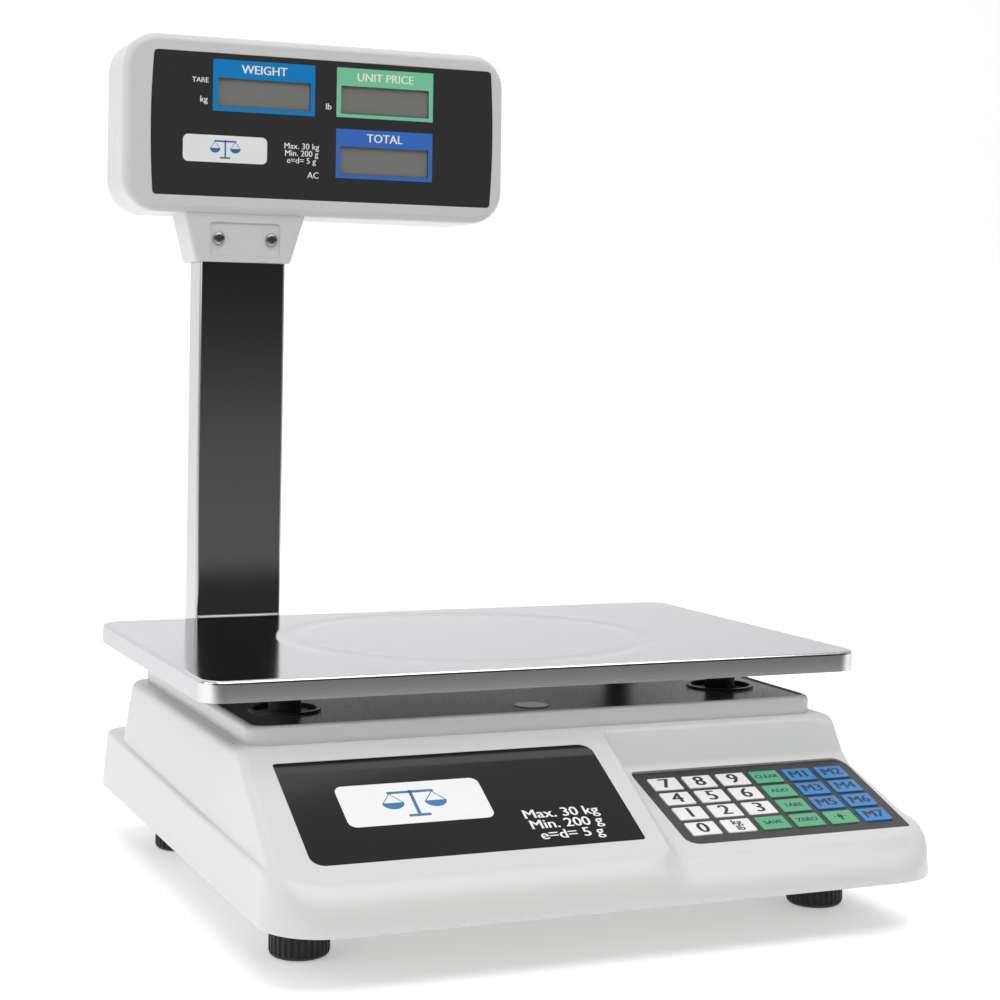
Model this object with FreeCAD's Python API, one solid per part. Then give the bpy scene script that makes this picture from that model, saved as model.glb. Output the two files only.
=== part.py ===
"""Counter scale with a keypad and a display head on a pole, as separate pieces.

Frame: millimetres, +Z up, origin on the counter under the middle of the scale's box.
+X is the operator's right, -Y is the operator's side. Each piece is one STEP in parts/.
"""

import FreeCAD, Part
import math
import os

Vector = FreeCAD.Vector
X_AXIS = Vector(1, 0, 0)
Y_AXIS = Vector(0, 1, 0)
Z_AXIS = Vector(0, 0, 1)

# ---- driving dimensions, mm ----------------------------------------------------------------

# casing
CASE_BOTTOM = 25.0            # height of the casing's lower edge above the counter
FRONT_Y = -180.0              # front of the casing at its lower edge
BACK_Y = 169.5                # back of the casing at its lower edge
SKIRT_HALF_WIDTH = 162.5      # lower tier, at its lower edge
SKIRT_DRAFT = 0.08            # how far a skirt wall leans in, per mm of height
SKIRT_BACK_DRAFT = 0.02
FRONT_CORNER = 28.0           # plan radius of the two front corners
BACK_CORNER = 14.0
SHOULDER_FRONT = 47.5         # height of the skirt's shoulder at the front
SHOULDER_BACK = 55.5          # and at the back
SHOULDER_RUN = 30.0           # how far beyond the casing those two heights are measured
TIER_HALF_WIDTH = SKIRT_HALF_WIDTH - 8.5   # upper tier, at the top ledge
TIER_DRAFT = 0.12
TIER_BACK_Y = 134.0
TIER_BACK_CORNER = 13.0
LEDGE_HEIGHT = 87.0           # flat ledge round the raised deck
NOSE_RADIUS = 12.0
WALL = 2.5

# sloped front
WINDOW_SLOPE = 27.0           # degrees from level
WINDOW_LOW_Y = -160.0         # lower edge of the window and its height
WINDOW_LOW_Z = 50.4
SLOPE_TOP_Y = WINDOW_LOW_Y + (LEDGE_HEIGHT - WINDOW_LOW_Z) / math.tan(math.radians(WINDOW_SLOPE))
KEYPAD_RIGHT = TIER_HALF_WIDTH - 1.0
KEYPAD_LEFT = KEYPAD_RIGHT - 117.0
KEYPAD_SLOPE = 18.3
KEYPAD_LOW_Y = -159.6
KEYPAD_LOW_Z = 46.0
STEEP_TOP_Y = SLOPE_TOP_Y + 0.17   # wall between the ledge and the keypad bed
STEEP_SLOPE = 64.0
CREST_TOP_X = KEYPAD_LEFT - 11.0   # ridge between the window side and the keypad bed
CREST_TOP_Y = SLOPE_TOP_Y - 2.83
CREST_LOW_X = CREST_TOP_X - 1.6
CREST_LOW_Y = WINDOW_LOW_Y + 3.0
CREST_LEAN = 22.0             # lean of the ridge's wall from upright, degrees
EDGE_ROUND = 4.0              # rounding of the upper tier's outline
SCOOP_ROUND = 3.0             # rounding at the foot of the keypad bed's walls

# raised deck
DECK_HALF_WIDTH = TIER_HALF_WIDTH - 7.0
DECK_FRONT_Y = SLOPE_TOP_Y + 5.77
DECK_BACK_Y = TIER_BACK_Y - 6.0
DECK_TOP = LEDGE_HEIGHT + 8.6
DECK_CORNER = 10.0
DECK_ROUND = 2.5
DECK_RIM = 3.2                # width of the white rim round the dark deck panel
DECK_RECESS = 2.0
DECK_PANEL = 1.5
HOLE_RADIUS = 15.3            # holes for the pan posts
HOLE_RING = 2.0
HOLE_RING_HEIGHT = 1.2

# window and keypad panels
WINDOW_LEFT = 13.0 - TIER_HALF_WIDTH
WINDOW_RIGHT = CREST_TOP_X - 11.0
WINDOW_LENGTH = 69.5          # up the slope
WINDOW_THICK = 1.2
PANEL_GAP = 0.15              # gap round a panel in its recess
PANEL_SET = 0.1               # how far a panel sits below the casing's face
SMALL_CORNER = 1.6
LARGE_CORNER = 6.5
KEYPAD_LENGTH = 64.7
OVERLAY_THICK = 1.2
OVERLAY_LEDGE = 3.0           # width of casing under the overlay's edge

# keys
KEY_COLUMNS = 6
KEY_ROWS = 4
KEY_WIDTH = 15.0
KEY_HEIGHT = 10.9
KEY_PITCH_X = 18.2
KEY_PITCH_V = 13.5
KEY_MARGIN_LEFT = 5.4
KEY_MARGIN_TOP = 6.7
KEY_CORNER = 0.7
KEY_PROUD = 0.65               # cap above the overlay
KEY_SKIRT = 2.0               # cap below the overlay's face
KEY_GAP = 0.2
KEY_TRAVEL = 0.6
KEY_STEM = 3.0                # half width of the stem
BOARD_DROP = 6.4              # keypad board below the overlay's face
BOARD_THICK = 1.6
DOME_HEIGHT = 1.2
DOME_RADIUS = 3.5
DOME_GAP = 0.1

# pan
PAN_HALF_WIDTH = SKIRT_HALF_WIDTH + 7.5
PAN_FRONT_Y = -88.0
PAN_BACK_Y = 137.0
PAN_TOP = DECK_TOP + 22.4
PAN_LIP = 10.0
PAN_SHEET = 1.0
PAN_CORNER = 12.0
PAN_BEND = 3.0

# pan support
POST_X = DECK_HALF_WIDTH - 30.0
POST_FRONT_Y = -37.0
POST_BACK_Y = 85.0
POST_RADIUS = 7.75
POST_FOOT_RADIUS = 11.0
POST_FOOT = 4.0
CARRIER_THICK = 6.0
CARRIER_ARM = 22.0
CARRIER_EDGE = 4.0            # carrier's middle plate beyond the load cell
POST_EDGE = 2.0               # carrier beyond a post's foot
CELL_LENGTH = 150.0
CELL_WIDTH = 30.0
CELL_HEIGHT = 24.0
CELL_BOLT_RADIUS = 3.0
CELL_BOLT_INSET = 11.0        # bolt rows from the cell's end
CELL_BOLT_PITCH = 13.0
SPACER_LENGTH = 34.0
SPACER_LOW = 8.0
SPACER_HIGH = 10.0
CELL_SEAT = CASE_BOTTOM + 9.0  # height of the tray's pad under the cell
BOLT_HEAD_RADIUS = 5.0
BOLT_HEAD = 4.0

# spirit level
LEVEL_Y = DECK_FRONT_Y + 20.4
LEVEL_RADIUS = 8.75
LEVEL_DEPTH = 9.0
LEVEL_PROUD = 0.3

# base tray
TRAY_THICK = 3.0
TRAY_GAP = 0.4
BOSS_RADIUS = 4.5
SCREW_RADIUS = 1.6
SCREW_HEAD_RADIUS = 3.5
SCREW_HEAD = 1.8
SCREW_LENGTH = 11.0
SCREW_END = 1.0               # how far a screw stops short of its hole's end
SCREW_GAP = 0.06

# feet
FOOT_X = SKIRT_HALF_WIDTH - 31.7
FOOT_FRONT_Y = -110.0
FOOT_BACK_Y = 105.0
FOOT_RADIUS = 13.6
FOOT_HEIGHT = CASE_BOTTOM - 1.0
FOOT_FLUTES = 30
FLUTE_RADIUS = 0.8
FLUTE_START = 1.8
FOOT_ROUND = 3.0
STUD_RADIUS = 4.0
STUD_TOP = CASE_BOTTOM + 20.0
STUD_SEAT = 6.0
FOOT_BOSS_RADIUS = 9.0
FOOT_BOSS_TOP = CASE_BOTTOM + 16.0
RUNNING_GAP = 0.06

# pole
POLE_X = -91.2
POLE_WIDTH = 49.0
POLE_FRONT_Y = 140.0
POLE_DEPTH = 25.0
POLE_CORNER = 2.5
POLE_WALL = 1.2
POLE_GAP = 0.3
BRACKET_THICK = 3.0
BRACKET_HALF_WIDTH = 42.0
BRACKET_PLUG = 26.0
BRACKET_WALL = 2.5
BRACKET_EDGE = 3.0            # foot plate in front of the pole
BRACKET_SCREW_X = 34.0
BRACKET_SCREW_Y = 7.0

# head
HEAD_LEFT = POLE_X - 69.8
HEAD_RIGHT = POLE_X + 154.2
HEAD_BOTTOM = 341.5
HEAD_TOP = HEAD_BOTTOM + 98.5
HEAD_FRONT_Y = POLE_FRONT_Y - 5.0
HEAD_BACK_Y = POLE_FRONT_Y + POLE_DEPTH + 15.0
HEAD_SPLIT_Y = HEAD_FRONT_Y + 23.0
HEAD_CORNER = 19.0
HEAD_ROUND = 4.5
HEAD_WALL = 2.5
POLE_TOP = HEAD_BOTTOM + 32.5
FACE_LEFT = HEAD_LEFT + 16.5       # printed display panel
FACE_RIGHT = HEAD_RIGHT - 8.5
FACE_BOTTOM = HEAD_BOTTOM + 9.5
FACE_TOP = HEAD_TOP - 9.5
FACE_BOW = 1.5
FACE_CORNER = 2.0
FACE_THICK = 1.2
LCD_THICK = 2.0
LCD_MARGIN = 1.5              # glass beyond its window
LCD_HEIGHT = 16.0
LCD_UPPER = FACE_TOP - 29.5   # lower edges of the upper and lower clear windows
LCD_LOWER = FACE_TOP - 63.9
LCD_WINDOWS = {               # left, right, bottom, top of each clear window
    "weight": (FACE_LEFT + 36.0, FACE_LEFT + 89.5, LCD_UPPER, LCD_UPPER + LCD_HEIGHT),
    "price": (FACE_LEFT + 107.5, FACE_LEFT + 160.5, LCD_UPPER, LCD_UPPER + LCD_HEIGHT),
    "total": (FACE_LEFT + 107.5, FACE_LEFT + 160.5, LCD_LOWER, LCD_LOWER + LCD_HEIGHT),
}
NECK_TOP_LEFT = POLE_X - POLE_WIDTH / 2 - 10.8
NECK_TOP_RIGHT = POLE_X + POLE_WIDTH / 2 + 10.9
NECK_LOW_LEFT = POLE_X - POLE_WIDTH / 2 - 3.5
NECK_LOW_RIGHT = POLE_X + POLE_WIDTH / 2 + 2.1
NECK_BOTTOM = HEAD_BOTTOM - 26.5
NECK_WALL = 2.8
NECK_CORNER = 2.0
NECK_PLATE_HALF = 20.0        # shallow recess round the two screws
NECK_PLATE_LOW = NECK_BOTTOM + 3.0
NECK_PLATE_HIGH = NECK_BOTTOM + 22.0
NECK_PLATE_DEPTH = 0.8
NECK_SCREW_X = 15.1
NECK_SCREW_Z = NECK_BOTTOM + 13.0
HEAD_SCREW_X = 96.0
HEAD_SCREW_Z = 38.0
HEAD_BOSS_RADIUS = 4.0

# electrics
PAD_Y = (58.0, 128.0)         # flat raised pad on the right wall
PAD_Z = (CASE_BOTTOM + 3.8, CASE_BOTTOM + 26.0)
PAD_PROUD = 0.4               # pad's face beyond the skirt's lower edge
PAD_BACK = 8.0                # pad's depth from its face
WALL_REACH = 20.0             # length of the cuts through the pad and the wall behind it
SWITCH_Y = 76.0
SWITCH_Z = CASE_BOTTOM + 15.0
SWITCH_LENGTH = 21.0
SWITCH_HEIGHT = 15.0
SWITCH_BEZEL = 1.6
SWITCH_WALL = 1.5
SWITCH_DEPTH = 14.0
ROCKER_TILT = 9.0
ROCKER_GAP = 0.75
SOCKET_Y = 110.0
SOCKET_RADIUS = 5.5
SOCKET_FLANGE = 7.5
SOCKET_BORE = 2.85
SOCKET_PIN = 1.05
SOCKET_DEPTH = 10.0
BATTERY_LEFT = 5.0 - TIER_HALF_WIDTH
BATTERY_LENGTH = 70.0
BATTERY_FRONT_Y = -30.0
BATTERY_DEPTH = 101.0
BATTERY_HEIGHT = 47.0
MAIN_BOARD = (-118.0, 20.0, -150.0, -75.0)
BOARD_LIFT = 6.0
BOARD_INSET = 8.0             # display board from the ends of the face
BOARD_MARGIN = 4.0            # and from its edges and the pole
BOARD_BLOCKS = [              # x, y from the board's corner, length, width and height of each block
    (40.0, 30.0, 18.0, 18.0, 2.5),
    (75.0, 25.0, 20.0, 12.0, 3.5),
    (108.0, 57.0, 20.0, 8.0, 8.0),
    (12.0, 59.0, 18.0, 7.0, 8.0),
]
BOARD_CANS = [                # x, y from the board's corner, radius and height of each capacitor
    (22.0, 40.0, 5.0, 11.0),
    (110.0, 45.0, 4.0, 9.0),
]
STANDOFF_RADIUS = 3.0
STANDOFF_INSET = 5.0          # from the board's edges
BATTERY_CHAMFER = 1.5
TAB_WIDTH = 5.0
TAB_LENGTH = 6.0
TAB_THICK = 0.8
TAB_INSET = 12.0

# small sizes that several pieces share
JOINED = 1.0                  # how far pieces of one moulding run into each other
THROUGH = 5.0                 # how far a cut passes beyond the face it opens
BEYOND = 400.0                # larger than the casing, for cutting planes and blocks
SCREW_RECESS = 0.2            # screw heads sit this far above the tray's underside
HEAD_CLEARANCE = 0.3          # round a screw's head in its hole
SIDE_SCREW_Y = -72.0
FRONT_SCREW_X = 80.0
HEAD_SCREW_SEAT = 4.0         # depth of the screw holes in the head's rear
SCREW_BITE = 8.0              # hole for a screw's thread
HINGE_OFFSET = 14.0           # load cell's two joined holes from its middle
HINGE_WEB = 2.0
HINGE_SLOT = 5.0
BOLT_GRIP = 10.0              # bolt thread inside the load cell
RIB_OFFSET = 50.0             # tray ribs from the pan's middle
RIB_HEIGHT = 4.0
RIB_THICK = 2.0
RIB_ENDS = (-70.0, 118.0)
BEZEL_EDGE = 2.0              # switch bezel beyond its hole
SNAP_GAP = 0.1                # round the switch body in its hole
ROCKER_PIVOT = 4.0            # depth of the rocker's pivot
ROCKER_REACH = 5.6
ROCKER_DIP = 1.2
ROCKER_WAIST = 0.55           # rocker's width at the pivot, as a share of its length
ROCKER_HEEL = 3.0
ROCKER_NARROW = 0.4
SOCKET_LIP = 1.2
SOCKET_END = 2.0
LEVEL_ROUND = 0.6

# ---- general shapes ------------------------------------------------------------------------


def box(x0, x1, y0, y1, z0, z1):
    """Upright block between two corners."""
    return Part.makeBox(x1 - x0, y1 - y0, z1 - z0, Vector(x0, y0, z0))


def rod(radius, length, x, y, z, direction=Z_AXIS):
    """Round bar that starts at (x, y, z) and runs along direction."""
    return Part.makeCylinder(radius, length, Vector(x, y, z), direction)


def corner_arc(cx, cy, z, radius, start):
    """Quarter arc about (cx, cy), from the angle start, counter-clockwise, at height z."""
    points = []
    for turn in (0, 45, 90):
        angle = math.radians(start + turn)
        points.append(Vector(cx + radius * math.cos(angle), cy + radius * math.sin(angle), z))
    return Part.Arc(*points).toShape()


def round_rectangle(x0, x1, y0, y1, z, radii):
    """Closed outline with radii given for the corners (x0,y0), (x1,y0), (x1,y1), (x0,y1)."""
    r00, r10, r11, r01 = radii
    arcs = [
        corner_arc(x0 + r00, y0 + r00, z, r00, 180),
        corner_arc(x1 - r10, y0 + r10, z, r10, 270),
        corner_arc(x1 - r11, y1 - r11, z, r11, 0),
        corner_arc(x0 + r01, y1 - r01, z, r01, 90),
    ]
    edges = []
    for index, arc in enumerate(arcs):
        following = arcs[(index + 1) % 4]
        edges.append(arc)
        edges.append(Part.LineSegment(arc.lastVertex().Point, following.firstVertex().Point).toShape())
    return Part.Wire(edges)


def round_block(x0, x1, y0, y1, z0, z1, radii):
    """Upright block with rounded corners in plan."""
    face = Part.Face(round_rectangle(x0, x1, y0, y1, z0, radii))
    return face.extrude(Vector(0, 0, z1 - z0))


def side_prism(outline, half_width):
    """Outline of (y, z) points carried across the scale along X."""
    points = [Vector(-half_width, y, z) for y, z in outline]
    face = Part.Face(Part.makePolygon(points + points[:1]))
    return face.extrude(Vector(2 * half_width, 0, 0))


def beyond_plane(point, normal):
    """Large block that fills the side of a plane which normal points to."""
    size = 2 * BEYOND
    block = Part.makeBox(size, size, size, Vector(-BEYOND, -BEYOND, 0))
    block.Placement = FreeCAD.Placement(point, FreeCAD.Rotation(Z_AXIS, normal)).multiply(block.Placement)
    return block


def on_slope(shape, slope, y, z):
    """Moves a shape built flat about the origin to (y, z), tipped up by slope degrees."""
    shape.rotate(Vector(0, 0, 0), X_AXIS, slope)
    shape.translate(Vector(0, y, z))
    return shape


def fuse_all(shapes):
    """One solid from shapes that touch or overlap."""
    return shapes[0].multiFuse(shapes[1:]).removeSplitter()


def edges_where(shape, test):
    """Edges of a shape whose middle point passes the test."""
    found = []
    for edge in shape.Edges:
        first, last = edge.ParameterRange
        if test(edge, edge.valueAt((first + last) / 2)):
            found.append(edge)
    return found


def save(name, shape):
    """Writes one piece."""
    shape.exportStep(f"parts/{name}.step")


# ---- places worked out from the sizes above -------------------------------------------------

WINDOW_RISE = math.tan(math.radians(WINDOW_SLOPE))
KEYPAD_RISE = math.tan(math.radians(KEYPAD_SLOPE))
WINDOW_MID_Y = WINDOW_LOW_Y + WINDOW_LENGTH / 2 * math.cos(math.radians(WINDOW_SLOPE))
WINDOW_MID_Z = WINDOW_LOW_Z + WINDOW_LENGTH / 2 * math.sin(math.radians(WINDOW_SLOPE))
KEYPAD_MID_Y = KEYPAD_LOW_Y + KEYPAD_LENGTH / 2 * math.cos(math.radians(KEYPAD_SLOPE))
KEYPAD_MID_Z = KEYPAD_LOW_Z + KEYPAD_LENGTH / 2 * math.sin(math.radians(KEYPAD_SLOPE))
PAD_FACE_X = SKIRT_HALF_WIDTH + PAD_PROUD
PAD_BACK_X = PAD_FACE_X - PAD_BACK
PAN_MID_Y = (PAN_FRONT_Y + PAN_BACK_Y) / 2
TRAY_TOP = CASE_BOTTOM + TRAY_THICK
DECK_FLOOR = DECK_TOP - DECK_RECESS
CELL_BOTTOM = CELL_SEAT + SPACER_LOW
CELL_TOP = CELL_BOTTOM + CELL_HEIGHT
CARRIER_BOTTOM = CELL_TOP + SPACER_HIGH
CARRIER_TOP = CARRIER_BOTTOM + CARRIER_THICK
POSTS = [(x, y) for x in (-POST_X, POST_X) for y in (POST_FRONT_Y, POST_BACK_Y)]
FEET = {
    "front_left": (-FOOT_X, FOOT_FRONT_Y),
    "front_right": (FOOT_X, FOOT_FRONT_Y),
    "rear_left": (-FOOT_X, FOOT_BACK_Y),
    "rear_right": (FOOT_X, FOOT_BACK_Y),
}
SIDE_SCREW_X = TIER_HALF_WIDTH - WALL - BOSS_RADIUS
FRONT_SCREW_Y = FRONT_Y + WALL + BOSS_RADIUS + NOSE_RADIUS / 2
COVER_SCREWS = [
    (-SIDE_SCREW_X, SIDE_SCREW_Y),
    (SIDE_SCREW_X, SIDE_SCREW_Y),
    (-SIDE_SCREW_X, TIER_BACK_Y - TIER_BACK_CORNER - BOSS_RADIUS),
    (SIDE_SCREW_X, TIER_BACK_Y - TIER_BACK_CORNER - BOSS_RADIUS),
    (-FRONT_SCREW_X, FRONT_SCREW_Y),
    (FRONT_SCREW_X, FRONT_SCREW_Y),
]
POLE_BACK_Y = POLE_FRONT_Y + POLE_DEPTH
POLE_MID_Y = POLE_FRONT_Y + POLE_DEPTH / 2
POLE_LEFT = POLE_X - POLE_WIDTH / 2
POLE_RIGHT = POLE_X + POLE_WIDTH / 2
BRACKET_SCREWS = [
    (POLE_X + sx * BRACKET_SCREW_X, POLE_MID_Y + sy * BRACKET_SCREW_Y) for sx in (-1, 1) for sy in (-1, 1)
]
HEAD_MID_X = (HEAD_LEFT + HEAD_RIGHT) / 2
HEAD_MID_Z = (HEAD_BOTTOM + HEAD_TOP) / 2

KEY_NAMES = [
    ["7", "8", "9", "clear", "m1", "m2"],
    ["4", "5", "6", "add", "m3", "m4"],
    ["1", "2", "3", "tare", "m5", "m6"],
    ["0", "unit", "save", "zero", "light", "m7"],
]


def key_places():
    """Name and centre of each key on the overlay, measured from the overlay's centre."""
    places = []
    for row in range(KEY_ROWS):
        for column in range(KEY_COLUMNS):
            x = KEYPAD_LEFT + KEY_MARGIN_LEFT + KEY_WIDTH / 2 + column * KEY_PITCH_X
            v = KEYPAD_LENGTH / 2 - KEY_MARGIN_TOP - KEY_HEIGHT / 2 - row * KEY_PITCH_V
            places.append((KEY_NAMES[row][column], x, v))
    return places


# ---- casing --------------------------------------------------------------------------------


def drafted_tier(half_width, front, back, z0, z1, draft, back_draft, front_r, back_r):
    """Rounded block whose walls lean in as they rise; sizes are given at the height z0."""
    rise = z1 - z0
    low = round_rectangle(-half_width, half_width, front, back, z0, (front_r, front_r, back_r, back_r))
    lean = draft * rise
    high = round_rectangle(
        -half_width + lean, half_width - lean, front, back - back_draft * rise, z1,
        (front_r, front_r, back_r, back_r),
    )
    return Part.makeLoft([low, high], True, True)


def front_profile(inset):
    """Side view of the casing: nose, window slope and top ledge, drawn in by inset."""
    slope = math.radians(WINDOW_SLOPE)
    front = FRONT_Y + inset
    lift = inset / math.cos(slope)
    radius = max(NOSE_RADIUS - inset, 1.0)
    meet_z = WINDOW_LOW_Z - lift + (front - WINDOW_LOW_Y) * WINDOW_RISE
    tangent = radius * math.tan((math.pi / 2 - slope) / 2)
    low = Vector(-BEYOND, front, meet_z - tangent)
    high = Vector(-BEYOND, front + tangent * math.cos(slope), meet_z + tangent * math.sin(slope))
    centre = Vector(-BEYOND, front + radius, meet_z - tangent)
    half_turn = (math.pi / 2 - slope) / 2
    middle = centre + Vector(0, -radius * math.cos(half_turn), radius * math.sin(half_turn))
    top_z = LEDGE_HEIGHT - inset
    top_y = WINDOW_LOW_Y + (top_z - WINDOW_LOW_Z + lift) / WINDOW_RISE
    corners = [high, Vector(-BEYOND, top_y, top_z), Vector(-BEYOND, BEYOND, top_z)]
    corners += [Vector(-BEYOND, BEYOND, 0), Vector(-BEYOND, front, 0), low]
    edges = [Part.LineSegment(a, b).toShape() for a, b in zip(corners[:-1], corners[1:])]
    edges.append(Part.Arc(low, middle, high).toShape())
    return Part.Face(Part.Wire(edges)).extrude(Vector(2 * BEYOND, 0, 0))


def keypad_scoop(inset):
    """Space cut out above the keypad bed; a positive inset takes the cut deeper."""
    bed = math.radians(KEYPAD_SLOPE)
    bed_normal = Vector(0, -math.sin(bed), math.cos(bed))
    bed_point = Vector(0, KEYPAD_LOW_Y, KEYPAD_LOW_Z) - bed_normal * inset
    steep = math.radians(STEEP_SLOPE)
    steep_normal = Vector(0, -math.sin(steep), math.cos(steep))
    steep_point = Vector(0, STEEP_TOP_Y, LEDGE_HEIGHT) - steep_normal * inset
    top = Vector(CREST_TOP_X, CREST_TOP_Y, WINDOW_LOW_Z + (CREST_TOP_Y - WINDOW_LOW_Y) * WINDOW_RISE)
    low = Vector(CREST_LOW_X, CREST_LOW_Y, WINDOW_LOW_Z + (CREST_LOW_Y - WINDOW_LOW_Y) * WINDOW_RISE)
    lean = math.radians(CREST_LEAN)
    down = Vector(math.sin(lean), 0, -math.cos(lean))
    crest_normal = (top - low).cross(down)
    crest_normal.normalize()
    if crest_normal.x < 0:
        crest_normal = crest_normal * -1
    crest_point = top - crest_normal * inset
    scoop = beyond_plane(bed_point, bed_normal)
    scoop = scoop.common(beyond_plane(steep_point, steep_normal))
    return scoop.common(beyond_plane(crest_point, crest_normal))


def on_tier_outline(edge, middle):
    """True for the edges round the top ledge and down both sides of the window slope."""
    top_y = WINDOW_LOW_Y + (LEDGE_HEIGHT - WINDOW_LOW_Z) / WINDOW_RISE
    round_ledge = abs(middle.z - LEDGE_HEIGHT) < 0.1 and middle.y > top_y + 1
    down_side = middle.y < 0 and SHOULDER_BACK + 1 < middle.z < LEDGE_HEIGHT - 1
    return round_ledge or down_side


def in_scoop_corner(edge, middle):
    """True for the two edges where the keypad bed meets its walls."""
    bed_z = KEYPAD_LOW_Z + (middle.y - KEYPAD_LOW_Y) * KEYPAD_RISE
    inside = abs(middle.x) < TIER_HALF_WIDTH - 10 and FRONT_Y + 30 < middle.y < STEEP_TOP_Y
    return inside and abs(middle.z - bed_z) < 0.1


def cover_form(inset, low):
    """Outside of the casing for inset 0, inside of its walls for inset WALL."""
    skirt_low_half = SKIRT_HALF_WIDTH - inset + (CASE_BOTTOM - low) * SKIRT_DRAFT
    skirt = drafted_tier(
        skirt_low_half, FRONT_Y - JOINED + inset, BACK_Y - inset, low, LEDGE_HEIGHT, SKIRT_DRAFT,
        SKIRT_BACK_DRAFT, FRONT_CORNER - inset, BACK_CORNER - inset,
    )
    under = side_prism(
        [
            (FRONT_Y - SHOULDER_RUN, 0),
            (BACK_Y + SHOULDER_RUN, 0),
            (BACK_Y + SHOULDER_RUN, SHOULDER_BACK - inset),
            (FRONT_Y - SHOULDER_RUN, SHOULDER_FRONT - inset),
        ],
        BEYOND,
    )
    tier_low_half = TIER_HALF_WIDTH - inset + (LEDGE_HEIGHT - low) * TIER_DRAFT
    tier_low_back = TIER_BACK_Y - inset + (LEDGE_HEIGHT - low) * TIER_DRAFT
    tier = drafted_tier(
        tier_low_half, FRONT_Y - JOINED + inset, tier_low_back, low, DECK_TOP, TIER_DRAFT, TIER_DRAFT,
        FRONT_CORNER - inset, TIER_BACK_CORNER - inset,
    )
    body = skirt.common(under).fuse(tier)
    body = body.common(front_profile(inset)).removeSplitter()
    if inset == 0:
        body = body.makeFillet(EDGE_ROUND, edges_where(body, on_tier_outline))
    body = body.cut(keypad_scoop(inset)).removeSplitter()
    if inset == 0:
        body = body.makeFillet(SCOOP_ROUND, edges_where(body, in_scoop_corner))
    return body


def deck_block(inset, bottom, top):
    """Raised deck, drawn in by inset."""
    radius = DECK_CORNER - inset
    return round_block(
        -DECK_HALF_WIDTH + inset, DECK_HALF_WIDTH - inset, DECK_FRONT_Y + inset, DECK_BACK_Y - inset,
        bottom, top, (radius,) * 4,
    )


def window_panel(inset, depth, thickness):
    """Window-shaped plate on its slope; inset shrinks it, depth is its top below the face."""
    plate = round_block(
        WINDOW_LEFT + inset, WINDOW_RIGHT - inset, -WINDOW_LENGTH / 2 + inset, WINDOW_LENGTH / 2 - inset,
        -depth - thickness, -depth, (LARGE_CORNER, SMALL_CORNER, LARGE_CORNER, SMALL_CORNER),
    )
    return on_slope(plate, WINDOW_SLOPE, WINDOW_MID_Y, WINDOW_MID_Z)


def keypad_plate(inset, depth, thickness, large_corner=LARGE_CORNER):
    """Keypad-shaped plate lying flat about the origin."""
    return round_block(
        KEYPAD_LEFT + inset, KEYPAD_RIGHT - inset, -KEYPAD_LENGTH / 2 + inset, KEYPAD_LENGTH / 2 - inset,
        -depth - thickness, -depth, (large_corner, SMALL_CORNER, large_corner, SMALL_CORNER),
    )


def on_keypad(shape):
    """Puts a shape built flat about the keypad's centre onto the keypad bed."""
    return on_slope(shape, KEYPAD_SLOPE, KEYPAD_MID_Y, KEYPAD_MID_Z)


def cover_bosses(inside):
    """Screw bosses that hang from the inside of the cover down to the tray."""
    posts = [rod(BOSS_RADIUS, LEDGE_HEIGHT, x, y, TRAY_TOP) for x, y in COVER_SCREWS]
    return [post.common(inside) for post in posts]


def top_cover():
    """White casing: sloped front, keypad bed, ledge and raised deck, hollow from below."""
    outer = cover_form(0, CASE_BOTTOM)
    outer = outer.fuse(deck_block(0, LEDGE_HEIGHT - JOINED, DECK_TOP)).removeSplitter()
    rim = edges_where(outer, lambda edge, mid: abs(mid.z - DECK_TOP) < 0.01)
    outer = outer.makeFillet(DECK_ROUND, rim)

    inner = cover_form(WALL, CASE_BOTTOM - THROUGH)
    inner = inner.fuse(deck_block(WALL, LEDGE_HEIGHT - WALL - JOINED, DECK_FLOOR - WALL)).removeSplitter()
    cover = outer.cut(inner)

    pad = box(PAD_BACK_X, PAD_FACE_X, PAD_Y[0], PAD_Y[1], PAD_Z[0], PAD_Z[1])
    pad = pad.makeFillet(PAD_PROUD, edges_where(pad, lambda edge, mid: abs(mid.x - PAD_FACE_X) < 0.01))
    pieces = [cover, pad] + cover_bosses(inner)
    cover = fuse_all(pieces)

    reach_x = PAD_BACK_X - WALL_REACH
    cuts = [
        deck_block(DECK_RIM, DECK_FLOOR, DECK_TOP + THROUGH),
        window_panel(0, 0, WINDOW_THICK + PANEL_SET),
        on_keypad(keypad_plate(0, 0, OVERLAY_THICK + PANEL_SET)),
        on_keypad(keypad_plate(OVERLAY_LEDGE, 0, BOARD_DROP, SMALL_CORNER)),
        rod(LEVEL_RADIUS + RUNNING_GAP, DECK_TOP - CARRIER_BOTTOM + THROUGH, 0, LEVEL_Y, CARRIER_BOTTOM),
        box(
            POLE_LEFT - POLE_GAP, POLE_RIGHT + POLE_GAP, POLE_FRONT_Y - POLE_GAP, POLE_BACK_Y + POLE_GAP,
            CASE_BOTTOM, LEDGE_HEIGHT,
        ),
        box(
            reach_x, PAD_FACE_X + THROUGH, SWITCH_Y - SWITCH_LENGTH / 2, SWITCH_Y + SWITCH_LENGTH / 2,
            SWITCH_Z - SWITCH_HEIGHT / 2, SWITCH_Z + SWITCH_HEIGHT / 2,
        ),
        rod(SOCKET_RADIUS + RUNNING_GAP, 2 * WALL_REACH, reach_x, SOCKET_Y, SWITCH_Z, X_AXIS),
    ]
    cuts += [rod(HOLE_RADIUS, DECK_TOP, x, y, CARRIER_TOP) for x, y in POSTS]
    cuts += [rod(SCREW_RADIUS + SCREW_GAP, SCREW_LENGTH, x, y, CASE_BOTTOM) for x, y in COVER_SCREWS]
    return cover.cut(Part.makeCompound(cuts)).removeSplitter()


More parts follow.
